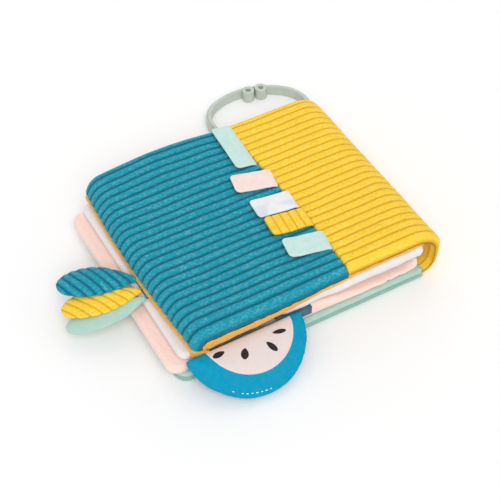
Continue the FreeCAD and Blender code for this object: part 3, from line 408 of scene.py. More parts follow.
class Finish:
    """A procedural material, built one node at a time."""

    def __init__(self, name, roughness=0.9, sheen=0.0, specular=0.25):
        self.material = bpy.data.materials.new(name)
        self.material.use_nodes = True
        self.tree = self.material.node_tree
        self.shader = self.tree.nodes["Principled BSDF"]
        self.shader.inputs["Roughness"].default_value = roughness
        self.shader.inputs["Sheen Weight"].default_value = sheen
        self.shader.inputs["Sheen Roughness"].default_value = 0.45
        self.shader.inputs["Specular IOR Level"].default_value = specular
        self.object_place = self.add("ShaderNodeTexCoord").outputs["Object"]

    def add(self, kind, **settings):
        """Adds a node of a kind, with its settings."""
        node = self.tree.nodes.new(kind)
        for key, value in settings.items():
            setattr(node, key, value)
        return node

    def join(self, source, target):
        """Links an output socket to an input socket."""
        self.tree.links.new(source, target)

    def stretched(self, scale, turn=(0, 0, 0)):
        """Object coordinates, scaled and turned."""
        mapping = self.add("ShaderNodeMapping")
        mapping.inputs["Scale"].default_value = scale
        mapping.inputs["Rotation"].default_value = turn
        self.join(self.object_place, mapping.inputs["Vector"])
        return mapping.outputs["Vector"]

    def noise(self, size, detail=3.0, rough=0.55, place=None):
        """Noise whose spots are about size across."""
        node = self.add("ShaderNodeTexNoise")
        node.inputs["Scale"].default_value = 1 / size
        node.inputs["Detail"].default_value = detail
        node.inputs["Roughness"].default_value = rough
        self.join(place or self.object_place, node.inputs["Vector"])
        return node.outputs["Fac"]

    def ramp(self, factor, *stops):
        """Colours at places from 0 to 1 along a factor."""
        node = self.add("ShaderNodeValToRGB")
        for number, (place, colour) in enumerate(stops):
            if number > 1:
                node.color_ramp.elements.new(place)
            element = node.color_ramp.elements[number]
            element.position = place
            element.color = (*colour, 1)
        self.join(factor, node.inputs["Fac"])
        return node.outputs["Color"]

    def mix(self, factor, first, second):
        """Mixes two colours; each value is a socket, a colour or a number."""
        node = self.add("ShaderNodeMix", data_type="RGBA", blend_type="MIX")
        for value, socket in ((factor, node.inputs[0]), (first, node.inputs[6]), (second, node.inputs[7])):
            if isinstance(value, bpy.types.NodeSocket):
                self.join(value, socket)
            elif isinstance(value, tuple):
                socket.default_value = (*value, 1)
            else:
                socket.default_value = value
        return node.outputs[2]

    def attribute(self, name):
        """Reads a value that the mesh carries."""
        return self.add("ShaderNodeAttribute", attribute_name=name).outputs["Fac"]

    def bump(self, *layers):
        """Stacks bump layers, each a height and its depth."""
        normal = None
        for height, depth in layers:
            node = self.add("ShaderNodeBump")
            node.inputs["Strength"].default_value = 1.0
            node.inputs["Distance"].default_value = depth
            self.join(height, node.inputs["Height"])
            if normal:
                self.join(normal, node.inputs["Normal"])
            normal = node.outputs["Normal"]
        self.join(normal, self.shader.inputs["Normal"])

    def colour(self, socket):
        """Takes a socket as the material's colour."""
        self.join(socket, self.shader.inputs["Base Color"])


def grey(value):
    """A grey colour, for ramps that say how much of something there is."""
    return (value, value, value)


def darker(colour, amount):
    """A colour with each channel multiplied by amount."""
    return tuple(channel * amount for channel in colour)


def lighter(colour, amount):
    """A colour moved towards white by a share."""
    return tuple(channel + (1 - channel) * amount for channel in colour)


def corduroy(name, crest, groove, width=1.0):
    """Wide corduroy: painted shade darkens the grooves, and a nap lies in soft streaks.

    width below 1 makes the painted groove shade narrower.
    """
    made = Finish(name, roughness=0.92, sheen=0.12, specular=0.12)
    rib = made.attribute("rib")
    nap = made.noise(1.2 * MM, 4.0, 0.65, made.stretched((0.6, 1, 1)))
    patches = made.ramp(made.noise(22 * MM, 2.0), (0.35, grey(0)), (0.70, grey(0.35)))
    tone = made.ramp(nap, (0.30, darker(crest, 0.76)), (0.50, crest), (0.72, lighter(crest, 0.17)))
    tone = made.mix(patches, tone, darker(crest, 0.82))
    # Painted shade: the groove colour is mixed in as the rib attribute falls from crest to groove
    shade = made.ramp(
        rib, (0.0, grey(1)), (0.50 * width, grey(0.78)), (0.80 * width, grey(0.30)), (0.97 * width, grey(0))
    )
    made.colour(made.mix(shade, tone, groove))
    made.bump((made.noise(0.55 * MM, 2.0), 0.16 * MM), (nap, 0.22 * MM))
    return made.material


def plush(name, colour, sheen=0.3, fleck=0.07, pile=0.6, specular=0.2):
    """Smooth short-pile cloth with a faint mottle."""
    made = Finish(name, roughness=0.95, sheen=sheen, specular=specular)
    mottle = made.noise(3.5 * MM, 4.0, 0.7)
    broad = made.ramp(made.noise(26 * MM, 2.0), (0.4, grey(0)), (0.75, grey(0.4)))
    tone = made.ramp(mottle, (0.3, darker(colour, 1 - fleck)), (0.7, lighter(colour, fleck)))
    made.colour(made.mix(broad, tone, darker(colour, 1 - 1.4 * fleck)))
    made.bump((made.noise(pile * MM, 2.0), 0.12 * MM), (made.noise(4 * MM, 3.0), 0.35 * MM))
    return made.material


def ribbon(name, colour, dabs=()):
    """Soft satin ribbon with a fine crosswise weave.

    dabs are faint spots of other colours, each a size in millimetres, a turn and a colour.
    """
    made = Finish(name, roughness=0.7, sheen=0.2, specular=0.35)
    base = made.ramp(made.noise(4 * MM, 3.0), (0.3, darker(colour, 0.94)), (0.7, lighter(colour, 0.10)))
    for size, turn, dab in dabs:
        spots = made.noise(size * MM, 0.0, 0.5, made.stretched((1, 1, 1), (0, 0, turn)))
        base = made.mix(made.ramp(spots, (0.64, grey(0)), (0.70, grey(0.5))), base, dab)
    made.colour(base)
    weave = made.add("ShaderNodeTexWave", wave_type="BANDS", bands_direction="DIAGONAL")
    weave.inputs["Scale"].default_value = 1 / (2.2 * MM)
    weave.inputs["Distortion"].default_value = 0.6
    made.join(made.object_place, weave.inputs["Vector"])
    made.bump((weave.outputs["Fac"], 0.04 * MM), (made.noise(0.5 * MM), 0.05 * MM))
    return made.material


def moulded_plastic():
    """Satin moulded plastic with a very slight grain."""
    made = Finish("ring_plastic", roughness=0.42, specular=0.5)
    cloudy = made.noise(9 * MM, 3.0)
    made.colour(made.ramp(cloudy, (0.3, darker(PLASTIC, 0.95)), (0.7, lighter(PLASTIC, 0.06))))
    made.bump((made.noise(0.35 * MM, 2.0), 0.012 * MM))
    return made.material


teal_cord = corduroy("teal_corduroy", TEAL, TEAL_GROOVE_SHADE)
mustard_cord = corduroy("mustard_corduroy", MUSTARD, MUSTARD_GROOVE_SHADE, width=0.75)
lining_cloth = plush("mustard_lining", LINING_YELLOW)
white_cloth = plush("white_page", WHITE, fleck=0.04)
pink_cloth = plush("pink_page", PINK, fleck=0.05)
mint_cloth = plush("pale_mint_cloth", PALE_MINT, fleck=0.06)
sage_cloth = plush("sage_cloth", SAGE, fleck=0.08)
fruit_cloth = plush("fruit_cloth", FRUIT, fleck=0.02, sheen=0.0, specular=0.05)
flesh_cloth = plush("flesh_cloth", FLESH, fleck=0.03)
seed_thread = plush("seed_thread", SEED, sheen=0.0, fleck=0.02, pile=0.4)
white_thread = plush("white_thread", THREAD, fleck=0.02, pile=0.3)
mint_ribbon = ribbon("mint_ribbon", MINT)
pink_ribbon = ribbon("pink_ribbon", PINK_SATIN)
teal_ribbon = ribbon("teal_ribbon", STRAP)
spotted_ribbon = ribbon("spotted_ribbon", WHITE_SATIN, ((13, 0.0, ROSE), (15, 5.3, AMBER), (14, 9.1, SKY)))
ring_plastic = moulded_plastic()

# The lines that the two outer cloths follow, and the places where the cover bends
teal_route = Route(FORE_EDGE - CURL_REACH, TEAL_TOP - CURL - CURL_DROP, math.pi / 2)
teal_route.straight(CURL_DROP).bend(CURL, -math.pi / 2).straight(SEAM - FORE_EDGE + CURL_REACH - CURL)
wrap_route = Route(SEAM, MUSTARD_TOP, 0.0)
wrap_route.straight(SPINE_OUT - SHOULDER - SEAM).bend(SHOULDER, -math.pi / 2)
wrap_route.straight(MUSTARD_TOP - SHOULDER - FOOT).bend(FOOT, -math.pi / 2)
MID_SPINE = wrap_route.length - FOOT * math.pi / 2 - (MUSTARD_TOP - SHOULDER - FOOT) / 2


def covers():
    """The corduroy outside of the cover and spine, and the yellow lining inside it."""
    teal, mustard, yellow = "teal_corduroy", "mustard_corduroy", "mustard_cloth"
    bm = corduroy_pad(teal_route, 0, teal_route.length, 96, 1, corner=4 * MM, nose=4 * MM)
    finish_mesh("cover_teal_corduroy", bm, teal_cord, "front_cover", ["front_teal_panel"], teal)
    bm = corduroy_pad(wrap_route, 0, MID_SPINE, 84, 2, hem=2.2 * MM)
    piece = finish_mesh(
        "cover_mustard_corduroy", bm, mustard_cord, None, ["front_mustard_panel"], mustard
    )
    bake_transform(piece)
    bm = corduroy_pad(wrap_route, MID_SPINE, wrap_route.length, 40, 2)
    nodes = ["spine_wrap", "spine_foot_wrap"]
    piece = finish_mesh("spine_mustard_corduroy", bm, mustard_cord, None, nodes, mustard)
    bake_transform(piece)

    bm = lining_pad(teal_route, 0, teal_route.length, 110, 4, nose=True)
    finish_mesh("cover_lining_front", bm, lining_cloth, "front_cover", ["front_lining"], yellow)
    bm = lining_pad(wrap_route, 0, MID_SPINE, 60, 5)
    piece = finish_mesh("cover_lining_shoulder", bm, lining_cloth, None, ["front_lining"], yellow)
    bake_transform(piece)
    bm = lining_pad(wrap_route, MID_SPINE, wrap_route.length - FOOT * math.pi / 2, 20, 5)
    finish_mesh("spine_lining_cloth", bm, lining_cloth, "spine", ["spine_lining"], yellow)


def flat_pad(
    name, node, material, slot, low, high, middle, thick, seed, reach=3.5 * MM, cells=2 * MM, draw_in=None
):
    """A padded leaf between two corners of a rectangle.

    middle and thick are functions of x and y: the height of its middle and its half thickness.
    reach is how far in its edges are rounded, cells the size of its faces, and draw_in gives
    how far its near edge is drawn in at x.
    """
    centre_x, centre_y = (low[0] + high[0]) / 2, (low[1] + high[1]) / 2
    half_x, half_y = (high[0] - low[0]) / 2, (high[1] - low[1]) / 2

    def spread(share, half):
        """A place from -half to half, where the steps are shorter at the ends and the middle."""
        return (share - 0.5 - 0.03 * math.sin(4 * math.pi * share)) * 2 * half

    def point(column, row, side):
        a, b = spread(column, half_x), spread(row, half_y)
        corner = LEAF_CORNER if a < 0 else SPINE_CORNER
        a, b = rounded(a, b, half_x, half_y, corner)
        fill = fall_off(rim_distance(a, b, half_x, half_y, corner), reach)
        x, y = centre_x + a, centre_y + b
        if draw_in and b < 0:
            y += draw_in(x) * (b / half_y) ** 6
        ripple = waves(x, y, (0.35, seed + side, 24), (0.15, seed + side, 8))
        edge_wave = waves(x, y, (0.5, seed + 4, 20))
        height = middle(x, y) + side * (thick(x, y) + min(ripple, 0)) * fill + edge_wave * (1 - fill)
        return Vector((x, y, height)), 1.0

    bm = two_sheets(int(2 * half_x / cells), int(2 * half_y / cells), point)
    finish_mesh(name, bm, material, "book", [node], slot)


def leaves_of_the_book():
    """The pink and the white padded leaf, and the two cloths of the back cover."""
    page_half = pages_high.y
    spine_end = pages_high.x - 1 * MM

    def droop(x):
        """1 at the open end of the leaves, where they are thin and sag, and 0 further in."""
        return 1 - eased_step(x, FORE_EDGE + 2 * MM, FORE_EDGE + 24 * MM)

    def over_fruit(x):
        """1 where the near edges give way to the fruit."""
        return eased_step(x, FORE_EDGE - 8 * MM, FORE_EDGE + 14 * MM) * (1 - eased_step(x, -26 * MM, -8 * MM))

    def lens(x, y):
        """1 in the opening between the two leaves near the spine, at their near edge."""
        wide = eased_step(x, 0, 66 * MM) * (1 - eased_step(x, 84 * MM, 96 * MM))
        return wide * eased_step(-y, 50 * MM, 70 * MM)

    def near_rim(x, y):
        """1 along the near edge of the white leaf, towards the spine."""
        return eased_step(x, -16 * MM, 26 * MM) * eased_step(-y, 68 * MM, 76 * MM)

    def pink_middle(x, y):
        return 13.7 * MM - 1.9 * MM * droop(x) - 3.9 * MM * lens(x, y)

    def pink_thick(x, y):
        return 5.6 * MM - 1.75 * MM * droop(x) - 3.9 * MM * lens(x, y)

    def pink_draw(x):
        """Drawn in over the fruit, and gathered in small folds near the spine."""
        gather = 0.45 * MM * math.sin(x / (1.5 * MM) + 5 * wander(x, 0, 61, 9 * MM))
        gather += waves(x, 0, (0.8, 64, 6))
        return 9.0 * MM * over_fruit(x) + (0.7 * MM + gather) * eased_step(x, 46 * MM, 74 * MM)

    def white_middle(x, y):
        return 25.2 * MM - 5.6 * MM * droop(x) + 0.7 * MM * near_rim(x, y)

    def white_thick(x, y):
        return 4.95 * MM - 1.9 * MM * droop(x) + (0.4 * MM + waves(x, 0, (0.9, 63, 8))) * near_rim(x, y)

    def white_draw(x):
        return 8.0 * MM * over_fruit(x) + waves(x, 0, (0.9, 62, 9)) - 0.9 * MM * eased_step(x, 0, 40 * MM)

    pink_low, pink_high = (pages_low.x, -page_half), (spine_end, page_half)
    flat_pad(
        "page_pink_leaf", "pages", pink_cloth, "page_cloth", pink_low, pink_high,
        pink_middle, pink_thick, 11, cells=1.2 * MM, draw_in=pink_draw,
    )
    white_low, white_high = (FORE_EDGE - 9 * MM, -page_half), (spine_end + 2 * MM, page_half)
    flat_pad(
        "page_white_leaf", "pages", white_cloth, "page_cloth", white_low, white_high,
        white_middle, white_thick, 12, cells=1.5 * MM, draw_in=white_draw,
    )
    for name, node, low, high, cloth, slot in (
        ("back_cover_sage_cloth", "back_cover_panel", back_low, back_high, sage_cloth, "sage_cloth"),
        ("back_cover_mint_cloth", "back_cover_lining", lining_low, lining_high, mint_cloth, "mint_cloth"),
    ):
        flat_pad(
            name, node, cloth, slot, (low.x + 1.8 * MM, low.y), (high.x + 4.5 * MM, high.y),
            lambda x, y, z=(low.z + high.z) / 2: z,
            lambda x, y, t=(high.z - low.z) / 2: t,
            14, reach=2.4 * MM,
        )


def folded_tag(name, node, material, slot, seed, across, turn, width=17.2 * MM, length=29.6 * MM, ribs=0):
    """A folded cloth tag whose cut ends are caught in the seam; ribs is how many cross it.

    across is where it leaves the seam, and turn how many degrees it is turned there.
    """
    way = math.radians(180 - turn)
    along_way = Vector((math.cos(way), math.sin(way)))
    across_way = Vector((-math.sin(way), math.cos(way)))
    root_x, root_z = SEAM + 1.4 * MM, TEAL_TOP + 1.25 * MM
    root = Vector((root_x + seam_lean(root_x, across), across))
    half_length, half_width = length / 2, width / 2
    round_end, edge = 3.2 * MM, 1.2 * MM
    upper_half, lower_half, rib_height = 0.95 * MM, 0.75 * MM, 0.5 * MM
    columns, rows = max(int(length / (0.45 * MM)), 30), int(width / (0.7 * MM))

    def point(column, row, side):
        a = crowded(round(column * columns), columns, half_length, 2 * MM)
        b = crowded(round(row * rows), rows, half_width, edge)
        if a > 0:
            a, b = rounded(a, b, half_length, half_width, round_end)
        rim = min(half_width - abs(b), half_length - a)
        if a > half_length - round_end:
            rim = rim_distance(a, b, half_length, half_width, round_end)
        out = a + half_length
        rib = rib_shape((out * ribs / length) % 1.0) if ribs else 1.0
        thick = upper_half if side > 0 else lower_half
        if ribs and side > 0:
            thick += rib_height * rib
        rise = (1.1 * MM + 1.3 * MM * (out / length) ** 2 + waves(out, b, (0.5, seed, 13))) * (out / length)
        sag = -1.0 * MM * (1 - min(out / (4 * MM), 1)) ** 2
        height = root_z + rise + sag + side * thick * fall_off(rim, edge)
        edge_wave = waves(out, 2.0 if b > 0 else -2.0, (0.45, seed + 3, 6))
        b += edge_wave * (abs(b) * 2 / width) * min(out / (6 * MM), 1)
        spot = root + along_way * out + across_way * b
        return Vector((spot.x, spot.y, height)), rib

    finish_mesh(name, two_sheets(columns, rows, point), material, "front_cover", [node], slot)


def cloth_leaf(name, node, material, slot, seed, root, turn, droop, length, width, ribs, rise):
    """A padded leaf with a narrow root and a blunt tip, ribbed at a slant or plain.

    root is where it is sewn on, turn and droop give its direction in degrees, and rise
    lifts its root end over the edge of the pages.
    """
    way, fall, slant = math.radians(180 - turn), math.radians(droop), math.radians(44)
    along_way = Vector((math.cos(way) * math.cos(fall), math.sin(way) * math.cos(fall), -math.sin(fall)))
    across_way = Vector((-math.sin(way), math.cos(way), 0))
    upward = along_way.cross(across_way)
    cell, rib_width = 0.42 * MM, 5.4 * MM
    widest, tip_start = 0.56, 0.9

    def half_width(t):
        """Half the width at a share of the length."""
        if t < widest:
            body, tip = math.sin(math.pi * min(0.5, 0.5 * (t / widest) ** 1.1)), 1.0
        else:
            body, tip = 1.0, math.sqrt(max(0, 1 - ((t - widest) / (1 - widest)) ** 2.3))
        return (0.16 + 0.84 * body) * tip * width / 2

    def point(column, row, side):
        t = 0.5 - 0.5 * math.cos(math.pi * column) if column > 0.5 else column
        b = math.sin(math.pi / 2 * (2 * row - 1))
        w = half_width(t)
        a = t * length
        place = (a * math.cos(slant) + b * w * math.sin(slant)) / rib_width
        rib = rib_shape((place + 0.12 * wander(a, b * w, seed, 15 * MM)) % 1.0) if ribs else 1.0
        rim = math.sqrt(max(0, 1 - abs(b) ** 2.6))
        thick = (1.5 * MM + 0.9 * MM * math.sin(math.pi * min(t, 1))) * rim
        if t > tip_start:
            thick *= math.sqrt(max(0, 1 - ((t - tip_start) / (1 - tip_start)) ** 2))
        if ribs:
            w *= 0.94 + 0.08 * rib
            thick -= 1.0 * MM * (1 - rib) * rim
        arch = -0.9 * MM * b * b + 1.2 * MM * math.sin(math.pi * t)
        lift = rise * (1 - eased_step(a, 1 * MM, 13 * MM))
        ripple = waves(a, b * w, (0.3, seed + 2, 12))
        spot = root + along_way * a + across_way * (b * w) + upward * (side * thick + arch + ripple)
        return spot + Vector((0, 0, lift)), rib

    bm = two_sheets(int(length / cell), int(width / cell), point)
    finish_mesh(name, bm, material, "front_cover", [node], slot)


def tags_and_leaves():
    """The row of tags in the seam, and the bunch of three leaves on its tab at the fore-edge."""
    folded_tag(
        "wide_mint_tag_cloth", "wide_mint_tag", mint_ribbon, "mint_ribbon", 21, 54.8 * MM, 3.5,
        width=44 * MM, length=15.2 * MM,
    )
    for name, node, cloth, slot, seed, across, turn, ribs in (
        ("pink_tag_cloth", "pink_tag", pink_ribbon, "pink_ribbon", 22, 15.8, 11, 0),
        ("white_tag_cloth", "white_tag", spotted_ribbon, "white_ribbon", 23, -8.2, 4, 0),
        ("mustard_tag_cloth", "mustard_tag", mustard_cord, "mustard_corduroy", 24, -27.2, 5, 5),
        ("mint_tag_cloth", "mint_tag", mint_ribbon, "mint_ribbon", 25, -51.2, 9, 0),
    ):
        folded_tag(name, node, cloth, slot, seed, across * MM, turn, ribs=ribs)

    # Each leaf's root is out from the fore-edge, across, and up from the tab, in millimetres
    for name, node, cloth, slot, seed, (out, across, up), turn, droop, length, width, ribs, rise in (
        (
            "teal_leaf_cloth", "leaf_teal", teal_cord, "teal_corduroy",
            31, (5.4, -6.5, 1.9), 27, 4, 53, 24.5, True, 0,
        ),
        (
            "mustard_leaf_cloth", "leaf_mustard", mustard_cord, "mustard_corduroy",
            32, (7.2, -16.5, -0.2), 19, 8, 53, 22.5, True, 1.6,
        ),
        (
            "mint_leaf_cloth", "leaf_mint", mint_cloth, "mint_cloth",
            33, (7.5, -22.5, -2.8), 13, 11, 54, 20.5, False, 2.6,
        ),
    ):
        root = Vector((FORE_EDGE - out * MM, across * MM, tab_high.z + up * MM))
        cloth_leaf(name, node, cloth, slot, seed, root, turn, droop, length * MM, width * MM, ribs, rise * MM)


def leaf_tab_cloth():
    """The short folded corduroy tab that the leaves are sewn to."""
    low, high = tab_low, tab_high
    out_x = FORE_EDGE - 6.5 * MM
    length = 15.5 * MM
    ribs, rib_steps = 8, len(RIB_STEPS)
    half = (high.y - low.y - 5 * MM) / 2
    middle_y, middle_z = low.y + 3 * MM + half, (low.z + high.z) / 2 + 0.15 * MM

    def point(column, row, side):
        x = high.x + (out_x - high.x) * column
        y = middle_y + rib_place(row, ribs, half)[1]
        rib = rib_shape(round(row * ribs * rib_steps) % rib_steps / rib_steps)
        end = fall_off((1 - column) * length, 1.2 * MM)
        thick = (0.55 * MM + (0.55 * MM * rib if side > 0 else 0)) * end
        return Vector((x, y + waves(x, y, (0.4, 41, 8)), middle_z + side * thick)), rib

    bm = two_sheets(24, ribs * rib_steps, point)
    finish_mesh("leaf_tab_cloth", bm, teal_cord, "front_cover", ["leaf_tab"], "teal_corduroy")


class Slope:
    """The sloping plane that the half fruit lies in, with its origin on the straight edge."""

    def __init__(self):
        tilt = math.radians(24.8)
        self.origin = Vector((-41.4, -79.97, 19.79)) * MM
        self.down = Vector((0, -math.cos(tilt), -math.sin(tilt)))
        self.up = Vector((0, -math.sin(tilt), math.cos(tilt)))

    def put(self, along, down, height):
        """The place at a distance along the edge, one down the slope and a height above it."""
        return self.origin + Vector((along, 0, 0)) + self.down * down + self.up * height


def simulated(piece, cell, pressure, cap):
    """Swells a closed pad with a short cloth simulation, then smooths it.

    cell is the size of the cloth's mesh, pressure swells it, and no point moves beyond cap.
    """
    scene = bpy.context.scene
    frames, smoothings = 20, 3
    remesh = piece.modifiers.new("even_mesh", "REMESH")
    remesh.mode = "VOXEL"
    remesh.voxel_size = cell
    settle(piece)
    start = [vert.co.copy() for vert in piece.data.vertices]
    cloth = piece.modifiers.new("swell", "CLOTH")
    cloth.settings.quality = 6
    cloth.settings.mass = 0.15
    cloth.settings.tension_stiffness = 12
    cloth.settings.compression_stiffness = 12
    cloth.settings.shear_stiffness = 6
    cloth.settings.bending_stiffness = 0.05
    cloth.settings.use_pressure = True
    cloth.settings.uniform_pressure_force = pressure
    cloth.settings.effector_weights.gravity = 0
    cloth.point_cache.frame_start = 1
    cloth.point_cache.frame_end = frames
    for step in range(1, frames + 1):
        scene.frame_set(step)
    settle(piece)
    scene.frame_set(1)
    for vert, before in zip(piece.data.vertices, start):
        move = vert.co - before
        if move.length > cap:
            vert.co = before + move * (cap / move.length)
    bm = bmesh.new()
    bm.from_mesh(piece.data)
    for _ in range(smoothings):
        bmesh.ops.smooth_vert(
            bm, verts=bm.verts, factor=0.5, use_axis_x=True, use_axis_y=True, use_axis_z=True
        )
    bm.to_mesh(piece.data)
    bm.free()
    piece.data.polygons.foreach_set("use_smooth", [True] * len(piece.data.polygons))


def settle(piece):
    """Applies the piece's modifiers to its mesh."""
    graph = bpy.context.evaluated_depsgraph_get()
    made = bpy.data.meshes.new_from_object(piece.evaluated_get(graph), depsgraph=graph)
    piece.modifiers.clear()
    old = piece.data
    piece.data = made
    bpy.data.meshes.remove(old)


def thicken(piece, thickness, offset=-1):
    """Gives a single sheet its thickness: on its back with an offset of -1, on both sides with 0."""
    shell = piece.modifiers.new("thickness", "SOLIDIFY")
    shell.thickness = thickness
    shell.offset = offset


def draped_grid(columns, rows, place):
    """A sheet whose points are set by place, a function of a column and a row from 0 to 1."""
    bm = bmesh.new()
    bmesh.ops.create_grid(bm, x_segments=columns, y_segments=rows, size=0.5)
    for vert in bm.verts:
        vert.co = place(vert.co.x + 0.5, vert.co.y + 0.5)
    bmesh.ops.remove_doubles(bm, verts=bm.verts, dist=SAME_PLACE)
    bmesh.ops.recalc_face_normals(bm, faces=bm.faces)
    return bm


def fruit_cushion(slope):
    """The stuffed blue half circle, tucked a little under the cover."""
    thickness = 6.4 * MM
    bm = bmesh.new()
    bmesh.ops.create_circle(bm, cap_ends=True, cap_tris=False, segments=120, radius=FRUIT_RADIUS)
    whole = bm.verts[:] + bm.edges[:] + bm.faces[:]
    cut = (0, SET_BACK - TUCK, 0)
    bmesh.ops.bisect_plane(bm, geom=whole, plane_co=cut, plane_no=(0, -1, 0), clear_outer=True)
    made = bmesh.ops.extrude_face_region(bm, geom=bm.faces[:])
    lifted = [item for item in made["geom"] if isinstance(item, bmesh.types.BMVert)]
    bmesh.ops.translate(bm, verts=lifted, vec=(0, 0, thickness))
    bmesh.ops.recalc_face_normals(bm, faces=bm.faces)
    for vert in bm.verts:
        vert.co = slope.put(vert.co.x, vert.co.y - SET_BACK, vert.co.z - thickness / 2)
    cushion = finish_mesh("fruit_cushion", bm, fruit_cloth, "book", ["fruit_body"], "teal_plush")
    simulated(cushion, cell=1.5 * MM, pressure=4.6, cap=4.4 * MM)
    flatten_on_floor(cushion)
    pucker(cushion, slope)
    return cushion


def fruit():
    """The stuffed half fruit with its pale patch, embroidered seeds and stitched rim."""
    slope = Slope()
    cushion = fruit_cushion(slope)
    spots = [vert.co.copy() for vert in cushion.data.vertices]
    tree = BVHTree.FromPolygons(spots, [list(face.vertices) for face in cushion.data.polygons])

    def on_cushion(along, down, lift):
        """A point above the upper side of the cushion, or above its rim where it is missed."""
        hit = tree.ray_cast(slope.put(along, down, 30 * MM), -slope.up)[0]
        if hit is None:
            hit = tree.find_nearest(slope.put(along, down, 2 * MM))[0]
        return hit + slope.up * lift

    flesh_patch(on_cushion)
    # Where each seed starts, along and down the slope, then its turn, its length and its width
    seeds = (
        (-17.4, 3.1, 176, 8.6, 3.9),
        (-4.7, 6.5, 120, 7.6, 5.0),
        (9.6, 8.5, 63, 9.0, 4.0),
        (16.1, 4.7, 11, 9.4, 3.0),
    )
    for number, (along, down, turn, long, wide) in enumerate(seeds, start=1):
        embroidered_seed(number, on_cushion, along * MM, down * MM, math.radians(turn), long * MM, wide * MM)
    rim_stitches(slope, on_cushion)


def flesh_patch(on_cushion):
    """The pale half circle on the fruit, rounded down along its curved edge."""
    radius, back, middle = 30.8 * MM, 5.2 * MM, 2.2 * MM
    start = -TUCK + 0.8 * MM

    def place(column, row):
        along = middle - math.cos(math.pi * column) * math.sqrt(radius**2 - back**2)
        edge_down = math.sqrt(max(0, radius**2 - (along - middle) ** 2)) - back
        down = start + (max(edge_down, 0.0) - start) * row
        rim = min(1.0, (radius - math.hypot(along - middle, down + back)) / (0.8 * MM))
        return on_cushion(along, down, 0.28 * MM * max(rim, 0) ** 0.5 - 0.12 * MM)

    bm = draped_grid(110, 48, place)
    patch = finish_mesh("fruit_flesh_patch", bm, flesh_cloth, "book", ["fruit_flesh"], "page_cloth")
    thicken(patch, 0.3 * MM)


def embroidered_seed(number, on_cushion, along, down, way, long, wide):
    """One seed in raised satin stitch, widest a little beyond its middle."""
    stitch_width, stitch_depth, raised = 0.55 * MM, 0.07 * MM, 0.55 * MM

    def place(column, row):
        t, b = column, row * 2 - 1
        w = wide / 2 * abs(math.sin(math.pi * t**1.18)) ** 0.55
        stitch = stitch_depth * math.sin(2 * math.pi * t * long / stitch_width + 3 * b)
        x = along + math.cos(way) * t * long - math.sin(way) * b * w
        y = down + math.sin(way) * t * long + math.cos(way) * b * w
        dome = raised * math.sqrt(max(0, 1 - b * b * 0.98)) * min(1, math.sin(math.pi * t) * 3)
        return on_cushion(x, y, 0.12 * MM + dome + stitch * (1 - abs(b)))

    bm = draped_grid(36, 16, place)
    name, node = f"embroidered_seed_{number}", f"seed_{number}"
    seed = finish_mesh(name, bm, seed_thread, "book", [node], "dark_thread")
    thicken(seed, 0.2 * MM)


def rim_stitches(slope, on_cushion):
    """The row of small white stitches near the fruit's rim, with one of them apart."""
    first, apart, half_width, half_height = -127, 4.6, 0.34 * MM, 0.3 * MM
    bm = bmesh.new()
    for number in (0, 2, 3, 4, 5, 6, 7, 8):
        turn = math.radians(first + number * apart)
        made = bmesh.ops.create_icosphere(bm, subdivisions=2, radius=1.0)
        along, down = math.cos(turn), -math.sin(turn)
        middle = on_cushion(along * STITCH_RADIUS, down * STITCH_RADIUS - SET_BACK, 0.05 * MM)
        side = Vector((down, 0, 0)) + slope.down * -along
        outward = Vector((along, 0, 0)) + slope.down * down
        length = (0.95 if number % 2 else 0.7) * MM
        for vert in made["verts"]:
            x, y, z = vert.co
            vert.co = middle + side * x * length + outward * y * half_width + slope.up * z * half_height
    finish_mesh("fruit_rim_stitches", bm, white_thread, "book", (), "white_ribbon")


def pucker(piece, slope):
    """Draws the cushion in along its row of stitches, with small creases across the row.

    The creases are crease_turn degrees apart.
    """
    row_depth, row_reach = 0.9 * MM, 2.0 * MM
    crease_depth, crease_reach, crease_turn = 0.6 * MM, 5.5 * MM, 8.8
    for vert in piece.data.vertices:
        place = vert.co - slope.origin
        along, down = place.x, place.dot(slope.down)
        reach = math.hypot(along, down + SET_BACK) - STITCH_RADIUS
        turn = math.degrees(math.atan2(-(down + SET_BACK), along))
        share = eased_step(turn, -128, -120) * (1 - eased_step(turn, -90, -82))
        if place.dot(slope.up) < 0 or share == 0:
            continue
        row = row_depth * math.exp(-((reach / row_reach) ** 2))
        crease = crease_depth * math.exp(-((reach / crease_reach) ** 2))
        crease *= 0.5 + 0.5 * math.cos(turn * math.tau / crease_turn)
        vert.co -= slope.up * (row + crease) * share


def flatten_on_floor(piece):
    """Rests a padded piece on the floor where it would sink below it."""
    gap = 0.25 * MM
    for vert in piece.data.vertices:
        if vert.co.z < gap:
            vert.co.z = gap + 0.03 * vert.co.z


def strap():
    """The ribbon between the leaves that holds the fruit, turned down over the pink leaf."""
    low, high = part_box("fruit_strap")
    inset = 0.25 * MM
    flat = high.y - low.y
    whole = flat + high.z - low.z
    bm = bmesh.new()
    bmesh.ops.create_grid(bm, x_segments=30, y_segments=40, size=0.5)
    for vert in bm.verts:
        x = low.x + (vert.co.x + 0.5) * (high.x - low.x)
        run = (vert.co.y + 0.5) * whole
        if run < flat:
            vert.co = Vector((x, high.y - run, high.z - inset))
        else:
            vert.co = Vector((x, low.y + inset - waves(x, run, (0.25, 51, 7)), high.z - (run - flat)))
    bmesh.ops.recalc_face_normals(bm, faces=bm.faces)
    piece = finish_mesh("fruit_strap_ribbon", bm, teal_ribbon, "book", ["fruit_strap"], "teal_ribbon")
    thicken(piece, 0.4 * MM, offset=0)


def loop_and_ring():
    """Gives the cloth loop and the plastic ring their materials; their solids are shown."""
    for node, finish in (("ring_loop", sage_cloth), ("split_ring", ring_plastic)):
        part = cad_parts[node]
        part.data.materials.clear()
        part.data.materials.append(finish)


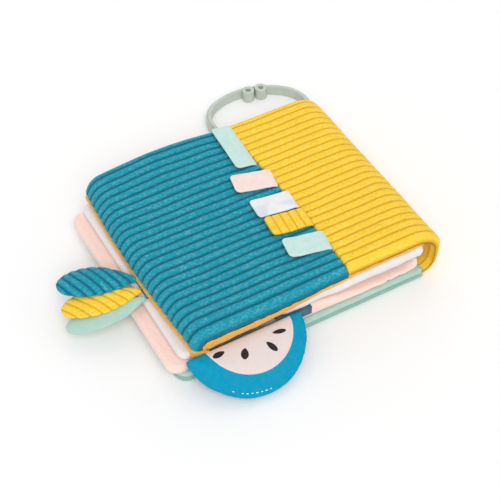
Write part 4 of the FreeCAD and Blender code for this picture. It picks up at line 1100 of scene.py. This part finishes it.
def studio():
    """A pale floor, plain soft light and the camera."""
    scene = bpy.context.scene
    scene.view_settings.view_transform = "Standard"
    bm = bmesh.new()
    bmesh.ops.create_grid(bm, x_segments=1, y_segments=1, size=4.0)
    data = bpy.data.meshes.new("floor")
    bm.to_mesh(data)
    bm.free()
    floor = bpy.data.objects.new("floor", data)
    scene.collection.objects.link(floor)
    floor.location.z = -0.2 * MM
    paint = bpy.data.materials.new("floor_paint")
    paint.use_nodes = True
    shader = paint.node_tree.nodes["Principled BSDF"]
    shader.inputs["Base Color"].default_value = (0.96, 0.96, 0.96, 1)
    shader.inputs["Roughness"].default_value = 1.0
    shader.inputs["Specular IOR Level"].default_value = 0.0
    data.materials.append(paint)

    world = bpy.data.worlds.new("studio")
    scene.world = world
    world.use_nodes = True
    tree = world.node_tree
    background = tree.nodes["Background"]
    background.inputs["Color"].default_value = (1, 1, 1, 1)
    background.inputs["Strength"].default_value = 0.62
    bright = tree.nodes.new("ShaderNodeBackground")
    bright.inputs["Color"].default_value = (1, 1, 1, 1)
    bright.inputs["Strength"].default_value = 1.0
    path = tree.nodes.new("ShaderNodeLightPath")
    either = tree.nodes.new("ShaderNodeMath")
    either.operation = "MAXIMUM"
    choose = tree.nodes.new("ShaderNodeMixShader")
    tree.links.new(path.outputs["Is Camera Ray"], either.inputs[0])
    tree.links.new(path.outputs["Is Glossy Ray"], either.inputs[1])
    tree.links.new(either.outputs["Value"], choose.inputs["Fac"])
    tree.links.new(background.outputs["Background"], choose.inputs[1])
    tree.links.new(bright.outputs["Background"], choose.inputs[2])
    tree.links.new(choose.outputs["Shader"], tree.nodes["World Output"].inputs["Surface"])

    for name, strength, spread, turn in (
        ("key_light", 1.5, 40, (math.radians(38), math.radians(-18), 0)),
        ("fill_light", 0.35, 60, (math.radians(-40), math.radians(30), 0)),
    ):
        lamp = bpy.data.lights.new(name, "SUN")
        lamp.energy = strength
        lamp.angle = math.radians(spread)
        light = bpy.data.objects.new(name, lamp)
        light.rotation_euler = turn
        scene.collection.objects.link(light)

    target = Vector((-1.7, -15.93, 20.0)) * MM
    back = Vector((-0.3295, -0.5846, 0.7414)).normalized()
    distance, focal_length = 822.8 * MM, 87.98
    lens = bpy.data.cameras.new("camera")
    lens.lens = focal_length
    lens.sensor_width = 36
    lens.clip_start = 0.01
    camera = bpy.data.objects.new("camera", lens)
    camera.location = target + back * distance
    camera.rotation_euler = back.to_track_quat("Z", "Y").to_euler()
    scene.collection.objects.link(camera)
    scene.camera = camera


covers()
leaves_of_the_book()
tags_and_leaves()
leaf_tab_cloth()
fruit()
strap()
loop_and_ring()
studio()
